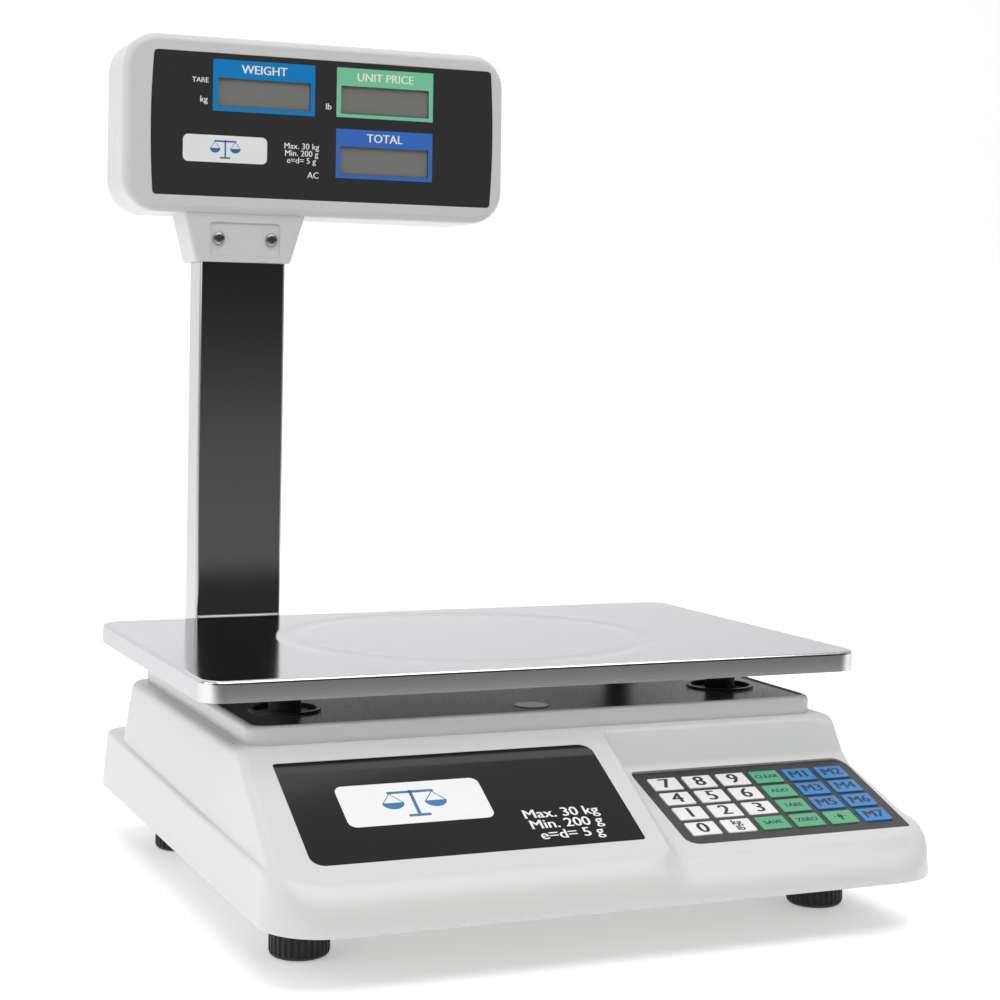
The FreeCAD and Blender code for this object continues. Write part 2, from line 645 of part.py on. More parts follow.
def deck_panel():
    """Dark panel laid in the deck's recess, with a raised ring round each post hole."""
    plate = deck_block(DECK_RIM + PANEL_GAP, DECK_FLOOR, DECK_FLOOR + DECK_PANEL)
    ring_height = DECK_PANEL + HOLE_RING_HEIGHT
    rings = [rod(HOLE_RADIUS + HOLE_RING, ring_height, x, y, DECK_FLOOR) for x, y in POSTS]
    panel = fuse_all([plate] + rings)
    drill = ring_height + 2 * THROUGH
    holes = [rod(HOLE_RADIUS, drill, x, y, DECK_FLOOR - THROUGH) for x, y in POSTS]
    holes.append(rod(LEVEL_RADIUS + RUNNING_GAP, drill, 0, LEVEL_Y, DECK_FLOOR - THROUGH))
    return panel.cut(Part.makeCompound(holes))


def keypad_overlay():
    """Dark printed plate with a window for each key."""
    plate = keypad_plate(PANEL_GAP, PANEL_SET, OVERLAY_THICK)
    windows = []
    for _, x, v in key_places():
        windows.append(
            round_block(
                x - KEY_WIDTH / 2 - KEY_GAP, x + KEY_WIDTH / 2 + KEY_GAP,
                v - KEY_HEIGHT / 2 - KEY_GAP, v + KEY_HEIGHT / 2 + KEY_GAP,
                -OVERLAY_THICK - THROUGH, THROUGH, (KEY_CORNER + KEY_GAP,) * 4,
            )
        )
    return on_keypad(plate.cut(Part.makeCompound(windows)))


def key(x, v):
    """One key: a rounded cap with a stem that ends just above its dome."""
    top = KEY_PROUD - PANEL_SET
    cap = round_block(
        x - KEY_WIDTH / 2, x + KEY_WIDTH / 2, v - KEY_HEIGHT / 2, v + KEY_HEIGHT / 2,
        -KEY_SKIRT, top, (KEY_CORNER,) * 4,
    )
    rim = edges_where(cap, lambda edge, mid: abs(mid.z - top) < 0.01)
    cap = cap.makeFillet(KEY_PROUD / 2, rim)
    stem_end = -BOARD_DROP + DOME_HEIGHT + KEY_TRAVEL + DOME_GAP
    stem = box(x - KEY_STEM, x + KEY_STEM, v - KEY_STEM, v + KEY_STEM, stem_end, -KEY_SKIRT)
    return on_keypad(fuse_all([cap, stem]))


def keypad_board():
    """Switch board under the keys, with a dome for each."""
    edge = OVERLAY_LEDGE + PANEL_GAP
    board = keypad_plate(edge, BOARD_DROP, BOARD_THICK, SMALL_CORNER)
    domes = [rod(DOME_RADIUS, DOME_HEIGHT, x, v, -BOARD_DROP) for _, x, v in key_places()]
    return on_keypad(fuse_all([board] + domes))


# ---- pan and weighing parts ----------------------------------------------------------------


def weighing_pan():
    """Stainless sheet tray, open below, its rim turned down all round."""
    bottom = PAN_TOP - PAN_LIP
    outer = round_block(
        -PAN_HALF_WIDTH, PAN_HALF_WIDTH, PAN_FRONT_Y, PAN_BACK_Y, bottom, PAN_TOP, (PAN_CORNER,) * 4,
    )
    outer = outer.makeFillet(PAN_BEND, edges_where(outer, lambda edge, mid: abs(mid.z - PAN_TOP) < 0.01))
    roof = PAN_TOP - PAN_SHEET
    inner = round_block(
        -PAN_HALF_WIDTH + PAN_SHEET, PAN_HALF_WIDTH - PAN_SHEET, PAN_FRONT_Y + PAN_SHEET,
        PAN_BACK_Y - PAN_SHEET, bottom - THROUGH, roof, (PAN_CORNER - PAN_SHEET,) * 4,
    )
    inner = inner.makeFillet(
        PAN_BEND - PAN_SHEET, edges_where(inner, lambda edge, mid: abs(mid.z - roof) < 0.01)
    )
    return outer.cut(inner)


def pan_carrier():
    """Four-armed aluminium spider that takes the posts and bolts to the load cell."""
    pieces = [
        box(
            -CELL_LENGTH / 2 - CARRIER_EDGE, CELL_LENGTH / 2 + CARRIER_EDGE,
            PAN_MID_Y - CELL_WIDTH / 2 - CARRIER_EDGE, PAN_MID_Y + CELL_WIDTH / 2 + CARRIER_EDGE,
            CARRIER_BOTTOM, CARRIER_TOP,
        )
    ]
    for x, y in POSTS:
        reach = Vector(x, y - PAN_MID_Y, 0)
        arm = box(0, reach.Length, -CARRIER_ARM / 2, CARRIER_ARM / 2, CARRIER_BOTTOM, CARRIER_TOP)
        arm.rotate(Vector(0, 0, 0), Z_AXIS, math.degrees(math.atan2(reach.y, reach.x)))
        arm.translate(Vector(0, PAN_MID_Y, 0))
        pieces.append(arm)
        pieces.append(rod(POST_FOOT_RADIUS + POST_EDGE, CARRIER_THICK, x, y, CARRIER_BOTTOM))
    carrier = fuse_all(pieces)
    drill = CARRIER_THICK + 2 * THROUGH
    holes = [
        rod(CELL_BOLT_RADIUS + SCREW_GAP, drill, x, y, CARRIER_BOTTOM - THROUGH) for x, y in cell_bolts(-1)
    ]
    return carrier.cut(Part.makeCompound(holes))


def pan_posts():
    """Four black rubber posts that stand on the carrier and hold the pan."""
    posts = []
    for x, y in POSTS:
        post = rod(POST_RADIUS, PAN_TOP - PAN_SHEET - CARRIER_TOP, x, y, CARRIER_TOP)
        foot = rod(POST_FOOT_RADIUS, POST_FOOT, x, y, CARRIER_TOP)
        posts.append(fuse_all([post, foot]))
    return Part.makeCompound(posts)


def cell_bolts(side):
    """Bolt places at one end of the load cell; side is -1 for its free end, +1 for its fixed end."""
    places = []
    for inset in (CELL_BOLT_INSET, CELL_BOLT_INSET + CELL_BOLT_PITCH):
        places.append((side * (CELL_LENGTH / 2 - inset), PAN_MID_Y))
    return places


def load_cell():
    """Aluminium beam with the joined round holes that make its two thin hinges."""
    beam = box(
        -CELL_LENGTH / 2, CELL_LENGTH / 2, PAN_MID_Y - CELL_WIDTH / 2, PAN_MID_Y + CELL_WIDTH / 2,
        CELL_BOTTOM, CELL_TOP,
    )
    radius = CELL_HEIGHT / 2 - HINGE_WEB
    middle = (CELL_BOTTOM + CELL_TOP) / 2
    hole_y = PAN_MID_Y - CELL_WIDTH
    deep = BOLT_GRIP + HINGE_WEB
    hinges = (-HINGE_OFFSET, HINGE_OFFSET)
    cuts = [rod(radius, 2 * CELL_WIDTH, x, hole_y, middle, Y_AXIS) for x in hinges]
    cuts.append(box(*hinges, hole_y, hole_y + 2 * CELL_WIDTH, middle - HINGE_SLOT, middle + HINGE_SLOT))
    cuts += [rod(CELL_BOLT_RADIUS + SCREW_GAP, deep, x, y, CELL_TOP - deep) for x, y in cell_bolts(-1)]
    cuts += [rod(CELL_BOLT_RADIUS + SCREW_GAP, deep, x, y, CELL_BOTTOM) for x, y in cell_bolts(1)]
    return beam.cut(Part.makeCompound(cuts))


def load_cell_spacers():
    """Block between tray and cell, and block between cell and carrier."""
    half = CELL_WIDTH / 2
    end = CELL_LENGTH / 2
    low = box(end - SPACER_LENGTH, end, PAN_MID_Y - half, PAN_MID_Y + half, CELL_SEAT, CELL_BOTTOM)
    high = box(-end, -end + SPACER_LENGTH, PAN_MID_Y - half, PAN_MID_Y + half, CELL_TOP, CARRIER_BOTTOM)
    drill = CELL_HEIGHT + 2 * THROUGH
    radius = CELL_BOLT_RADIUS + SCREW_GAP
    low_holes = [rod(radius, drill, x, y, CELL_SEAT - THROUGH) for x, y in cell_bolts(1)]
    high_holes = [rod(radius, drill, x, y, CELL_TOP - THROUGH) for x, y in cell_bolts(-1)]
    low = low.cut(Part.makeCompound(low_holes))
    high = high.cut(Part.makeCompound(high_holes))
    return Part.makeCompound([low, high])


def load_cell_bolts():
    """Two bolts down through the carrier, two up through the tray."""
    bolts = []
    for x, y in cell_bolts(-1):
        shank = rod(CELL_BOLT_RADIUS, CARRIER_TOP - CELL_TOP + BOLT_GRIP, x, y, CELL_TOP - BOLT_GRIP)
        bolts.append(fuse_all([shank, rod(BOLT_HEAD_RADIUS, BOLT_HEAD, x, y, CARRIER_TOP)]))
    low_head = TRAY_THICK - SCREW_RECESS
    for x, y in cell_bolts(1):
        shank = rod(CELL_BOLT_RADIUS, CELL_BOTTOM + BOLT_GRIP - TRAY_TOP, x, y, TRAY_TOP)
        head = rod(BOLT_HEAD_RADIUS, low_head, x, y, CASE_BOTTOM + SCREW_RECESS)
        bolts.append(fuse_all([shank, head]))
    return Part.makeCompound(bolts)


def bubble_level():
    """Round spirit level let into the deck."""
    top = DECK_FLOOR + DECK_PANEL + LEVEL_PROUD
    body = rod(LEVEL_RADIUS, LEVEL_DEPTH, 0, LEVEL_Y, top - LEVEL_DEPTH)
    return body.makeFillet(LEVEL_ROUND, edges_where(body, lambda edge, mid: abs(mid.z - top) < 0.01))


# ---- tray and feet -------------------------------------------------------------------------


def base_tray():
    """Flat tray inside the skirt, with bosses for the feet and a pad for the load cell."""
    inset = WALL + TRAY_GAP
    plate = round_block(
        -SKIRT_HALF_WIDTH + inset, SKIRT_HALF_WIDTH - inset, FRONT_Y + inset, BACK_Y - inset,
        CASE_BOTTOM, TRAY_TOP,
        (FRONT_CORNER - inset, FRONT_CORNER - inset, BACK_CORNER - inset, BACK_CORNER - inset),
    )
    pieces = [plate.common(cover_form(inset, CASE_BOTTOM - THROUGH))]
    end = CELL_LENGTH / 2
    half = CELL_WIDTH / 2
    pad = box(end - SPACER_LENGTH, end, PAN_MID_Y - half, PAN_MID_Y + half, TRAY_TOP - JOINED, CELL_SEAT)
    pieces.append(pad)
    for x, y in FEET.values():
        pieces.append(rod(FOOT_BOSS_RADIUS, FOOT_BOSS_TOP - CASE_BOTTOM, x, y, CASE_BOTTOM))
    for rib_y in (PAN_MID_Y - RIB_OFFSET, PAN_MID_Y + RIB_OFFSET):
        side = RIB_THICK / 2
        rib = box(*RIB_ENDS, rib_y - side, rib_y + side, TRAY_TOP - JOINED, TRAY_TOP + RIB_HEIGHT)
        pieces.append(rib)
    x0, x1, y0, y1 = MAIN_BOARD
    for x in (x0 + STANDOFF_INSET, x1 - STANDOFF_INSET):
        for y in (y0 + STANDOFF_INSET, y1 - STANDOFF_INSET):
            pieces.append(rod(STANDOFF_RADIUS, BOARD_LIFT + JOINED, x, y, TRAY_TOP - JOINED))
    tray = fuse_all(pieces)
    below = CASE_BOTTOM - THROUGH
    screws = COVER_SCREWS + BRACKET_SCREWS
    head_hole = SCREW_HEAD + SCREW_RECESS
    cuts = [rod(STUD_RADIUS + RUNNING_GAP, FOOT_BOSS_TOP, x, y, below) for x, y in FEET.values()]
    cuts += [rod(SCREW_RADIUS + SCREW_GAP, SCREW_LENGTH + THROUGH, x, y, below) for x, y in screws]
    cuts += [rod(SCREW_HEAD_RADIUS + HEAD_CLEARANCE, head_hole, x, y, CASE_BOTTOM) for x, y in screws]
    cuts += [rod(CELL_BOLT_RADIUS + SCREW_GAP, CELL_HEIGHT, x, y, below) for x, y in cell_bolts(1)]
    bolt_head = BOLT_HEAD_RADIUS + HEAD_CLEARANCE
    cuts += [rod(bolt_head, TRAY_THICK, x, y, CASE_BOTTOM) for x, y in cell_bolts(1)]
    return tray.cut(Part.makeCompound(cuts))


def foot_knob(x, y):
    """Black fluted knob that the scale stands on and that turns to level it."""
    knob = rod(FOOT_RADIUS, FOOT_HEIGHT, x, y, 0)
    sole = edges_where(knob, lambda edge, mid: mid.z < 0.01 and edge.Length > FOOT_RADIUS)
    knob = knob.makeFillet(FOOT_ROUND, sole)
    flutes = []
    for index in range(FOOT_FLUTES):
        angle = 2 * math.pi * index / FOOT_FLUTES
        flutes.append(
            rod(
                FLUTE_RADIUS, FOOT_HEIGHT, x + FOOT_RADIUS * math.cos(angle),
                y + FOOT_RADIUS * math.sin(angle), FLUTE_START,
            )
        )
    socket = rod(STUD_RADIUS + RUNNING_GAP, FOOT_HEIGHT, x, y, STUD_SEAT)
    return knob.cut(Part.makeCompound(flutes + [socket]))


def foot_stud(x, y):
    """Steel stud that screws into the tray's boss."""
    return rod(STUD_RADIUS, STUD_TOP - STUD_SEAT - SCREW_RECESS, x, y, STUD_SEAT + SCREW_RECESS)


def case_screws():
    """Like screws that hold the cover and the pole bracket to the tray, heads underneath."""
    screws = []
    for x, y in COVER_SCREWS + BRACKET_SCREWS:
        head = rod(SCREW_HEAD_RADIUS, SCREW_HEAD, x, y, CASE_BOTTOM + SCREW_RECESS)
        shank = rod(SCREW_RADIUS, SCREW_LENGTH - SCREW_END, x, y, CASE_BOTTOM + SCREW_RECESS)
        screws.append(fuse_all([head, shank]))
    return Part.makeCompound(screws)


# ---- pole ----------------------------------------------------------------------------------


def pole_tube(inset, bottom, top):
    """Rounded rectangular bar on the pole's axis, drawn in by inset."""
    radius = max(POLE_CORNER - inset, POLE_WALL / 2)
    return round_block(
        POLE_LEFT + inset, POLE_RIGHT - inset, POLE_FRONT_Y + inset, POLE_BACK_Y - inset, bottom, top,
        (radius,) * 4,
    )


def pole():
    """Polished stainless tube, open at both ends, with two screw holes under the head."""
    tube = pole_tube(0, TRAY_TOP + BRACKET_THICK, POLE_TOP)
    tube = tube.cut(pole_tube(POLE_WALL, 0, POLE_TOP + THROUGH))
    holes = []
    for x in (POLE_X - NECK_SCREW_X, POLE_X + NECK_SCREW_X):
        start = POLE_FRONT_Y - POLE_WALL / 2
        holes.append(rod(SCREW_RADIUS + SCREW_GAP, 2 * POLE_WALL, x, start, NECK_SCREW_Z, Y_AXIS))
    return tube.cut(Part.makeCompound(holes))


def pole_bracket():
    """Steel foot with a hollow plug that fits up inside the pole."""
    top = TRAY_TOP + BRACKET_THICK
    inset = WALL + TRAY_GAP
    plate = box(
        POLE_X - BRACKET_HALF_WIDTH, POLE_X + BRACKET_HALF_WIDTH, POLE_FRONT_Y - BRACKET_EDGE,
        min(POLE_BACK_Y, BACK_Y - inset) - PANEL_GAP, TRAY_TOP, top,
    )
    plug_inset = POLE_WALL + RUNNING_GAP
    plug = pole_tube(plug_inset, top - JOINED, top + BRACKET_PLUG)
    plug = plug.cut(pole_tube(plug_inset + BRACKET_WALL, top - THROUGH, top + BRACKET_PLUG + THROUGH))
    bracket = fuse_all([plate, plug])
    holes = [rod(SCREW_RADIUS + SCREW_GAP, 2 * SCREW_LENGTH, x, y, CASE_BOTTOM) for x, y in BRACKET_SCREWS]
    return bracket.cut(Part.makeCompound(holes))


# ---- head ----------------------------------------------------------------------------------


def upright(shape):
    """Turns a shape drawn in plan, with Z as depth, to stand in the X-Z plane facing -Y."""
    shape.rotate(Vector(0, 0, 0), X_AXIS, 90)
    return shape


def head_block(inset):
    """Rounded head casing, drawn in by inset."""
    radius = HEAD_CORNER - inset
    block = upright(
        round_block(
            HEAD_LEFT + inset, HEAD_RIGHT - inset, HEAD_BOTTOM + inset, HEAD_TOP - inset,
            -HEAD_BACK_Y + inset, -HEAD_FRONT_Y - inset, (radius,) * 4,
        )
    )
    ends = (HEAD_FRONT_Y + inset, HEAD_BACK_Y - inset)
    rims = edges_where(block, lambda edge, mid: min(abs(mid.y - end) for end in ends) < 0.01)
    return block.makeFillet(max(HEAD_ROUND - inset, 1.0), rims)


def face_plate(inset, y0, y1):
    """Display panel outline with bowed ends, between two depths."""
    left = FACE_LEFT + inset
    right = FACE_RIGHT - inset
    low = FACE_BOTTOM + inset
    high = FACE_TOP - inset
    middle = (low + high) / 2
    low_left, low_right = Vector(left, y0, low), Vector(right, y0, low)
    high_left, high_right = Vector(left, y0, high), Vector(right, y0, high)
    edges = [
        Part.LineSegment(low_left, low_right).toShape(),
        Part.Arc(low_right, Vector(right + FACE_BOW, y0, middle), high_right).toShape(),
        Part.LineSegment(high_right, high_left).toShape(),
        Part.Arc(high_left, Vector(left - FACE_BOW, y0, middle), low_left).toShape(),
    ]
    plate = Part.Face(Part.Wire(edges)).extrude(Vector(0, y1 - y0, 0))
    corners = edges_where(plate, lambda edge, mid: abs(mid.y - (y0 + y1) / 2) < 0.01)
    return plate.makeFillet(FACE_CORNER, corners)


def lcd_block(window, grow, y0, y1):
    """Block the size of one clear window, grown all round."""
    left, right, low, high = window
    return box(left - grow, right + grow, y0, y1, low - grow, high + grow)


def neck_solid():
    """Tapered sleeve below the head, before the pole's hole is cut."""
    front = POLE_FRONT_Y - NECK_WALL
    back = POLE_BACK_Y + NECK_WALL
    outlines = []
    for left, right, z in (
        (NECK_LOW_LEFT, NECK_LOW_RIGHT, NECK_BOTTOM),
        (NECK_TOP_LEFT, NECK_TOP_RIGHT, HEAD_BOTTOM + HEAD_WALL),
    ):
        outlines.append(round_rectangle(left, right, front, back, z, (NECK_CORNER,) * 4))
    return Part.makeLoft(outlines, True, True)


def pole_hole():
    """Space for the pole in the neck and in the floor of the head."""
    return pole_tube(-POLE_GAP / 2, NECK_BOTTOM - THROUGH, POLE_TOP + THROUGH)


def head_screw_places():
    """Four screws through the rear shell, near the corners."""
    signs = [(sx, sz) for sx in (-1, 1) for sz in (-1, 1)]
    return [(HEAD_MID_X + sx * HEAD_SCREW_X, HEAD_MID_Z + sz * HEAD_SCREW_Z) for sx, sz in signs]


def head_front_shell():
    """Front half of the head with the display recess, and the neck in one moulding."""
    hollow = head_block(HEAD_WALL)
    shell = head_block(0).cut(hollow)
    shell = shell.common(box(-BEYOND, BEYOND, 0, HEAD_SPLIT_Y, NECK_BOTTOM, 2 * BEYOND))
    bosses = []
    for x, z in head_screw_places():
        boss = rod(
            HEAD_BOSS_RADIUS, HEAD_SPLIT_Y - HEAD_FRONT_Y - JOINED, x, HEAD_FRONT_Y + JOINED, z, Y_AXIS
        )
        bosses.append(boss)
    neck = neck_solid()
    shell = fuse_all([shell, neck.cut(head_block(HEAD_WALL))] + bosses)
    rear_part = box(-BEYOND, BEYOND, HEAD_SPLIT_Y, BEYOND, HEAD_BOTTOM - PANEL_GAP, 2 * BEYOND)
    cuts = [
        rear_part,
        pole_hole(),
        face_plate(0, HEAD_FRONT_Y - THROUGH, HEAD_FRONT_Y + FACE_THICK + PANEL_SET),
        box(
            POLE_X - NECK_PLATE_HALF, POLE_X + NECK_PLATE_HALF, 0,
            POLE_FRONT_Y - NECK_WALL + NECK_PLATE_DEPTH, NECK_PLATE_LOW, NECK_PLATE_HIGH,
        ),
    ]
    for window in LCD_WINDOWS.values():
        cuts.append(
            lcd_block(window, LCD_MARGIN + PANEL_GAP, HEAD_FRONT_Y - THROUGH, HEAD_FRONT_Y + 2 * THROUGH)
        )
    for x in (POLE_X - NECK_SCREW_X, POLE_X + NECK_SCREW_X):
        start = POLE_FRONT_Y - NECK_WALL - THROUGH
        cuts.append(rod(SCREW_RADIUS + SCREW_GAP, NECK_WALL + 2 * THROUGH, x, start, NECK_SCREW_Z, Y_AXIS))
    for x, z in head_screw_places():
        cuts.append(rod(SCREW_RADIUS + SCREW_GAP, SCREW_BITE, x, HEAD_SPLIT_Y - SCREW_BITE, z, Y_AXIS))
    return shell.cut(Part.makeCompound(cuts)).removeSplitter()


def head_rear_shell():
    """Rear half of the head, with its own display recess and four screw bosses."""
    hollow = head_block(HEAD_WALL)
    shell = head_block(0).cut(hollow)
    shell = shell.common(box(-BEYOND, BEYOND, HEAD_SPLIT_Y, BEYOND, NECK_BOTTOM, 2 * BEYOND))
    bosses = []
    for x, z in head_screw_places():
        length = HEAD_BACK_Y - HEAD_SPLIT_Y - JOINED
        bosses.append(rod(HEAD_BOSS_RADIUS + JOINED, length, x, HEAD_SPLIT_Y, z, Y_AXIS))
    shell = fuse_all([shell] + bosses)
    cuts = [
        pole_hole(),
        face_plate(0, HEAD_BACK_Y - FACE_THICK - PANEL_SET, HEAD_BACK_Y + THROUGH),
        neck_gap(),
    ]
    for window in LCD_WINDOWS.values():
        grow = LCD_MARGIN + PANEL_GAP
        cuts.append(lcd_block(mirrored(window), grow, HEAD_BACK_Y - 2 * THROUGH, HEAD_BACK_Y + THROUGH))
    drill = HEAD_BACK_Y - HEAD_SPLIT_Y + 2 * THROUGH
    seat = HEAD_BACK_Y - HEAD_SCREW_SEAT
    for x, z in head_screw_places():
        cuts.append(rod(SCREW_RADIUS + SCREW_GAP, drill, x, HEAD_SPLIT_Y - THROUGH, z, Y_AXIS))
        cuts.append(rod(SCREW_HEAD_RADIUS + HEAD_CLEARANCE, HEAD_SCREW_SEAT + THROUGH, x, seat, z, Y_AXIS))
    return shell.cut(Part.makeCompound(cuts)).removeSplitter()


def neck_gap():
    """Room for the neck where it enters the rear shell's floor."""
    return box(
        NECK_TOP_LEFT - PANEL_GAP, NECK_TOP_RIGHT + PANEL_GAP, HEAD_SPLIT_Y - THROUGH,
        POLE_BACK_Y + NECK_WALL + PANEL_GAP, HEAD_BOTTOM - THROUGH, HEAD_BOTTOM + HEAD_WALL + PANEL_GAP,
    )


def mirrored(window):
    """The same window as seen from behind, about the middle of the display panel."""
    left, right, low, high = window
    centre = FACE_LEFT + FACE_RIGHT
    return (centre - right, centre - left, low, high)


def display_face(front):
    """Printed acrylic panel with three clear windows, for the front or the rear."""
    if front:
        plate = face_plate(PANEL_GAP, HEAD_FRONT_Y + PANEL_SET, HEAD_FRONT_Y + PANEL_SET + FACE_THICK)
        windows = list(LCD_WINDOWS.values())
        y0 = HEAD_FRONT_Y - THROUGH
    else:
        plate = face_plate(PANEL_GAP, HEAD_BACK_Y - PANEL_SET - FACE_THICK, HEAD_BACK_Y - PANEL_SET)
        windows = [mirrored(window) for window in LCD_WINDOWS.values()]
        y0 = HEAD_BACK_Y - THROUGH
    return plate.cut(Part.makeCompound([lcd_block(window, 0, y0, y0 + 2 * THROUGH) for window in windows]))


def lcd_glasses():
    """The liquid-crystal glasses behind the windows, three in front and three behind."""
    start = HEAD_FRONT_Y + PANEL_SET + FACE_THICK
    end = HEAD_BACK_Y - PANEL_SET - FACE_THICK
    glasses = [lcd_block(window, LCD_MARGIN, start, start + LCD_THICK) for window in LCD_WINDOWS.values()]
    for window in LCD_WINDOWS.values():
        glasses.append(lcd_block(mirrored(window), LCD_MARGIN, end - LCD_THICK, end))
    return Part.makeCompound(glasses)


def display_board():
    """Circuit board that carries the front glasses, beside the pole's end."""
    y0 = HEAD_FRONT_Y + PANEL_SET + FACE_THICK + LCD_THICK
    y1 = y0 + BOARD_THICK
    right = FACE_RIGHT - BOARD_INSET
    above_pole = POLE_TOP + BOARD_MARGIN
    board = box(FACE_LEFT + BOARD_INSET, right, y0, y1, above_pole, FACE_TOP - BOARD_MARGIN)
    lower = box(POLE_RIGHT + BOARD_MARGIN, right, y0, y1, FACE_BOTTOM + BOARD_MARGIN, above_pole + JOINED)
    board = fuse_all([board, lower])
    drill = HEAD_SPLIT_Y - HEAD_FRONT_Y
    radius = HEAD_BOSS_RADIUS + PANEL_GAP
    holes = [rod(radius, drill, x, HEAD_FRONT_Y, z, Y_AXIS) for x, z in head_screw_places()]
    return board.cut(Part.makeCompound(holes))


def head_screws():
    """Like screws: four through the rear shell, two through the neck into the pole."""
    screws = []
    seat = HEAD_BACK_Y - HEAD_SCREW_SEAT
    thread = SCREW_BITE - SCREW_END
    for x, z in head_screw_places():
        head = rod(SCREW_HEAD_RADIUS, SCREW_HEAD, x, seat, z, Y_AXIS)
        shank = rod(SCREW_RADIUS, seat - HEAD_SPLIT_Y + thread, x, HEAD_SPLIT_Y - thread, z, Y_AXIS)
        screws.append(fuse_all([head, shank]))
    neck_seat = POLE_FRONT_Y - NECK_WALL + NECK_PLATE_DEPTH
    for x in (POLE_X - NECK_SCREW_X, POLE_X + NECK_SCREW_X):
        head = rod(SCREW_HEAD_RADIUS, SCREW_HEAD, x, neck_seat - SCREW_HEAD, NECK_SCREW_Z, Y_AXIS)
        shank = rod(SCREW_RADIUS, SCREW_BITE, x, neck_seat - SCREW_END, NECK_SCREW_Z, Y_AXIS)
        screws.append(fuse_all([head, shank]))
    return Part.makeCompound(screws)


# ---- electrics -----------------------------------------------------------------------------


def switch_frame():
    """Snap-in frame of the power switch, with a bezel outside the wall."""
    length = SWITCH_LENGTH / 2
    height = SWITCH_HEIGHT / 2
    bezel_length = length + BEZEL_EDGE
    bezel_height = height + BEZEL_EDGE
    bezel = box(
        PAD_FACE_X, PAD_FACE_X + SWITCH_BEZEL, SWITCH_Y - bezel_length, SWITCH_Y + bezel_length,
        SWITCH_Z - bezel_height, SWITCH_Z + bezel_height,
    )
    shell_length = length - SNAP_GAP
    shell_height = height - SNAP_GAP
    shell = box(
        PAD_FACE_X - SWITCH_DEPTH, PAD_FACE_X + JOINED, SWITCH_Y - shell_length, SWITCH_Y + shell_length,
        SWITCH_Z - shell_height, SWITCH_Z + shell_height,
    )
    well = box(
        PAD_FACE_X - SWITCH_DEPTH + SWITCH_WALL, PAD_FACE_X + THROUGH, SWITCH_Y - length + SWITCH_WALL,
        SWITCH_Y + length - SWITCH_WALL, SWITCH_Z - height + SWITCH_WALL, SWITCH_Z + height - SWITCH_WALL,
    )
    return fuse_all([bezel, shell]).cut(well)


def power_rocker():
    """Rocker of the power switch, resting with its rear end pressed in."""
    length = SWITCH_LENGTH / 2 - SWITCH_WALL - ROCKER_GAP
    height = SWITCH_HEIGHT / 2 - SWITCH_WALL - ROCKER_GAP
    pivot_x = PAD_FACE_X - ROCKER_PIVOT
    tip = length - ROCKER_NARROW
    waist = length * ROCKER_WAIST
    outline = [
        Vector(pivot_x, -waist, -height),
        Vector(pivot_x + ROCKER_REACH, -tip, -height),
        Vector(pivot_x + ROCKER_REACH - ROCKER_DIP, 0, -height),
        Vector(pivot_x + ROCKER_REACH, tip, -height),
        Vector(pivot_x, waist, -height),
        Vector(pivot_x - ROCKER_HEEL, 0, -height),
    ]
    rocker = Part.Face(Part.makePolygon(outline + outline[:1])).extrude(Vector(0, 0, 2 * height))
    rocker.rotate(Vector(pivot_x, 0, 0), Z_AXIS, ROCKER_TILT)
    rocker.translate(Vector(0, SWITCH_Y, SWITCH_Z))
    return rocker


def supply_socket():
    """Round low-voltage socket with its centre pin."""
    floor_x = PAD_FACE_X - SOCKET_DEPTH
    flange = rod(SOCKET_FLANGE, SOCKET_LIP, PAD_FACE_X, SOCKET_Y, SWITCH_Z, X_AXIS)
    barrel = rod(
        SOCKET_RADIUS, SOCKET_DEPTH + SOCKET_END, floor_x - SOCKET_END, SOCKET_Y, SWITCH_Z, X_AXIS
    )
    bore = rod(SOCKET_BORE, SOCKET_DEPTH + THROUGH, floor_x, SOCKET_Y, SWITCH_Z, X_AXIS)
    pin = rod(SOCKET_PIN, SOCKET_DEPTH, floor_x - JOINED, SOCKET_Y, SWITCH_Z, X_AXIS)
    return fuse_all([fuse_all([flange, barrel]).cut(bore), pin])


def battery():
    """Sealed rechargeable battery with two tabs."""
    x0, y0 = BATTERY_LEFT, BATTERY_FRONT_Y
    x1, y1 = x0 + BATTERY_LENGTH, y0 + BATTERY_DEPTH
    block = box(x0, x1, y0, y1, TRAY_TOP, TRAY_TOP + BATTERY_HEIGHT)
    block = block.makeChamfer(BATTERY_CHAMFER, edges_where(block, lambda edge, mid: abs(mid.y - y1) < 0.01))
    tab_z = TRAY_TOP + BATTERY_HEIGHT / 2
    tabs = [
        box(x, x + TAB_WIDTH, y1 - JOINED, y1 + TAB_LENGTH, tab_z, tab_z + TAB_THICK)
        for x in (x0 + TAB_INSET, x1 - TAB_INSET - TAB_WIDTH)
    ]
    return fuse_all([block] + tabs)


def main_board():
    """Main circuit board on its standoffs, with its larger components."""
    x0, x1, y0, y1 = MAIN_BOARD
    bottom = TRAY_TOP + BOARD_LIFT
    board = box(x0, x1, y0, y1, bottom, bottom + BOARD_THICK)
    top = bottom + BOARD_THICK
    sunk = top - SCREW_RECESS
    blocks = []
    for x, y, length, width, height in BOARD_BLOCKS:
        blocks.append(box(x0 + x, x0 + x + length, y0 + y, y0 + y + width, sunk, top + height))
    for x, y, radius, height in BOARD_CANS:
        blocks.append(rod(radius, height + SCREW_RECESS, x0 + x, y0 + y, sunk))
    return fuse_all([board] + blocks)


# ---- write every piece ---------------------------------------------------------------------


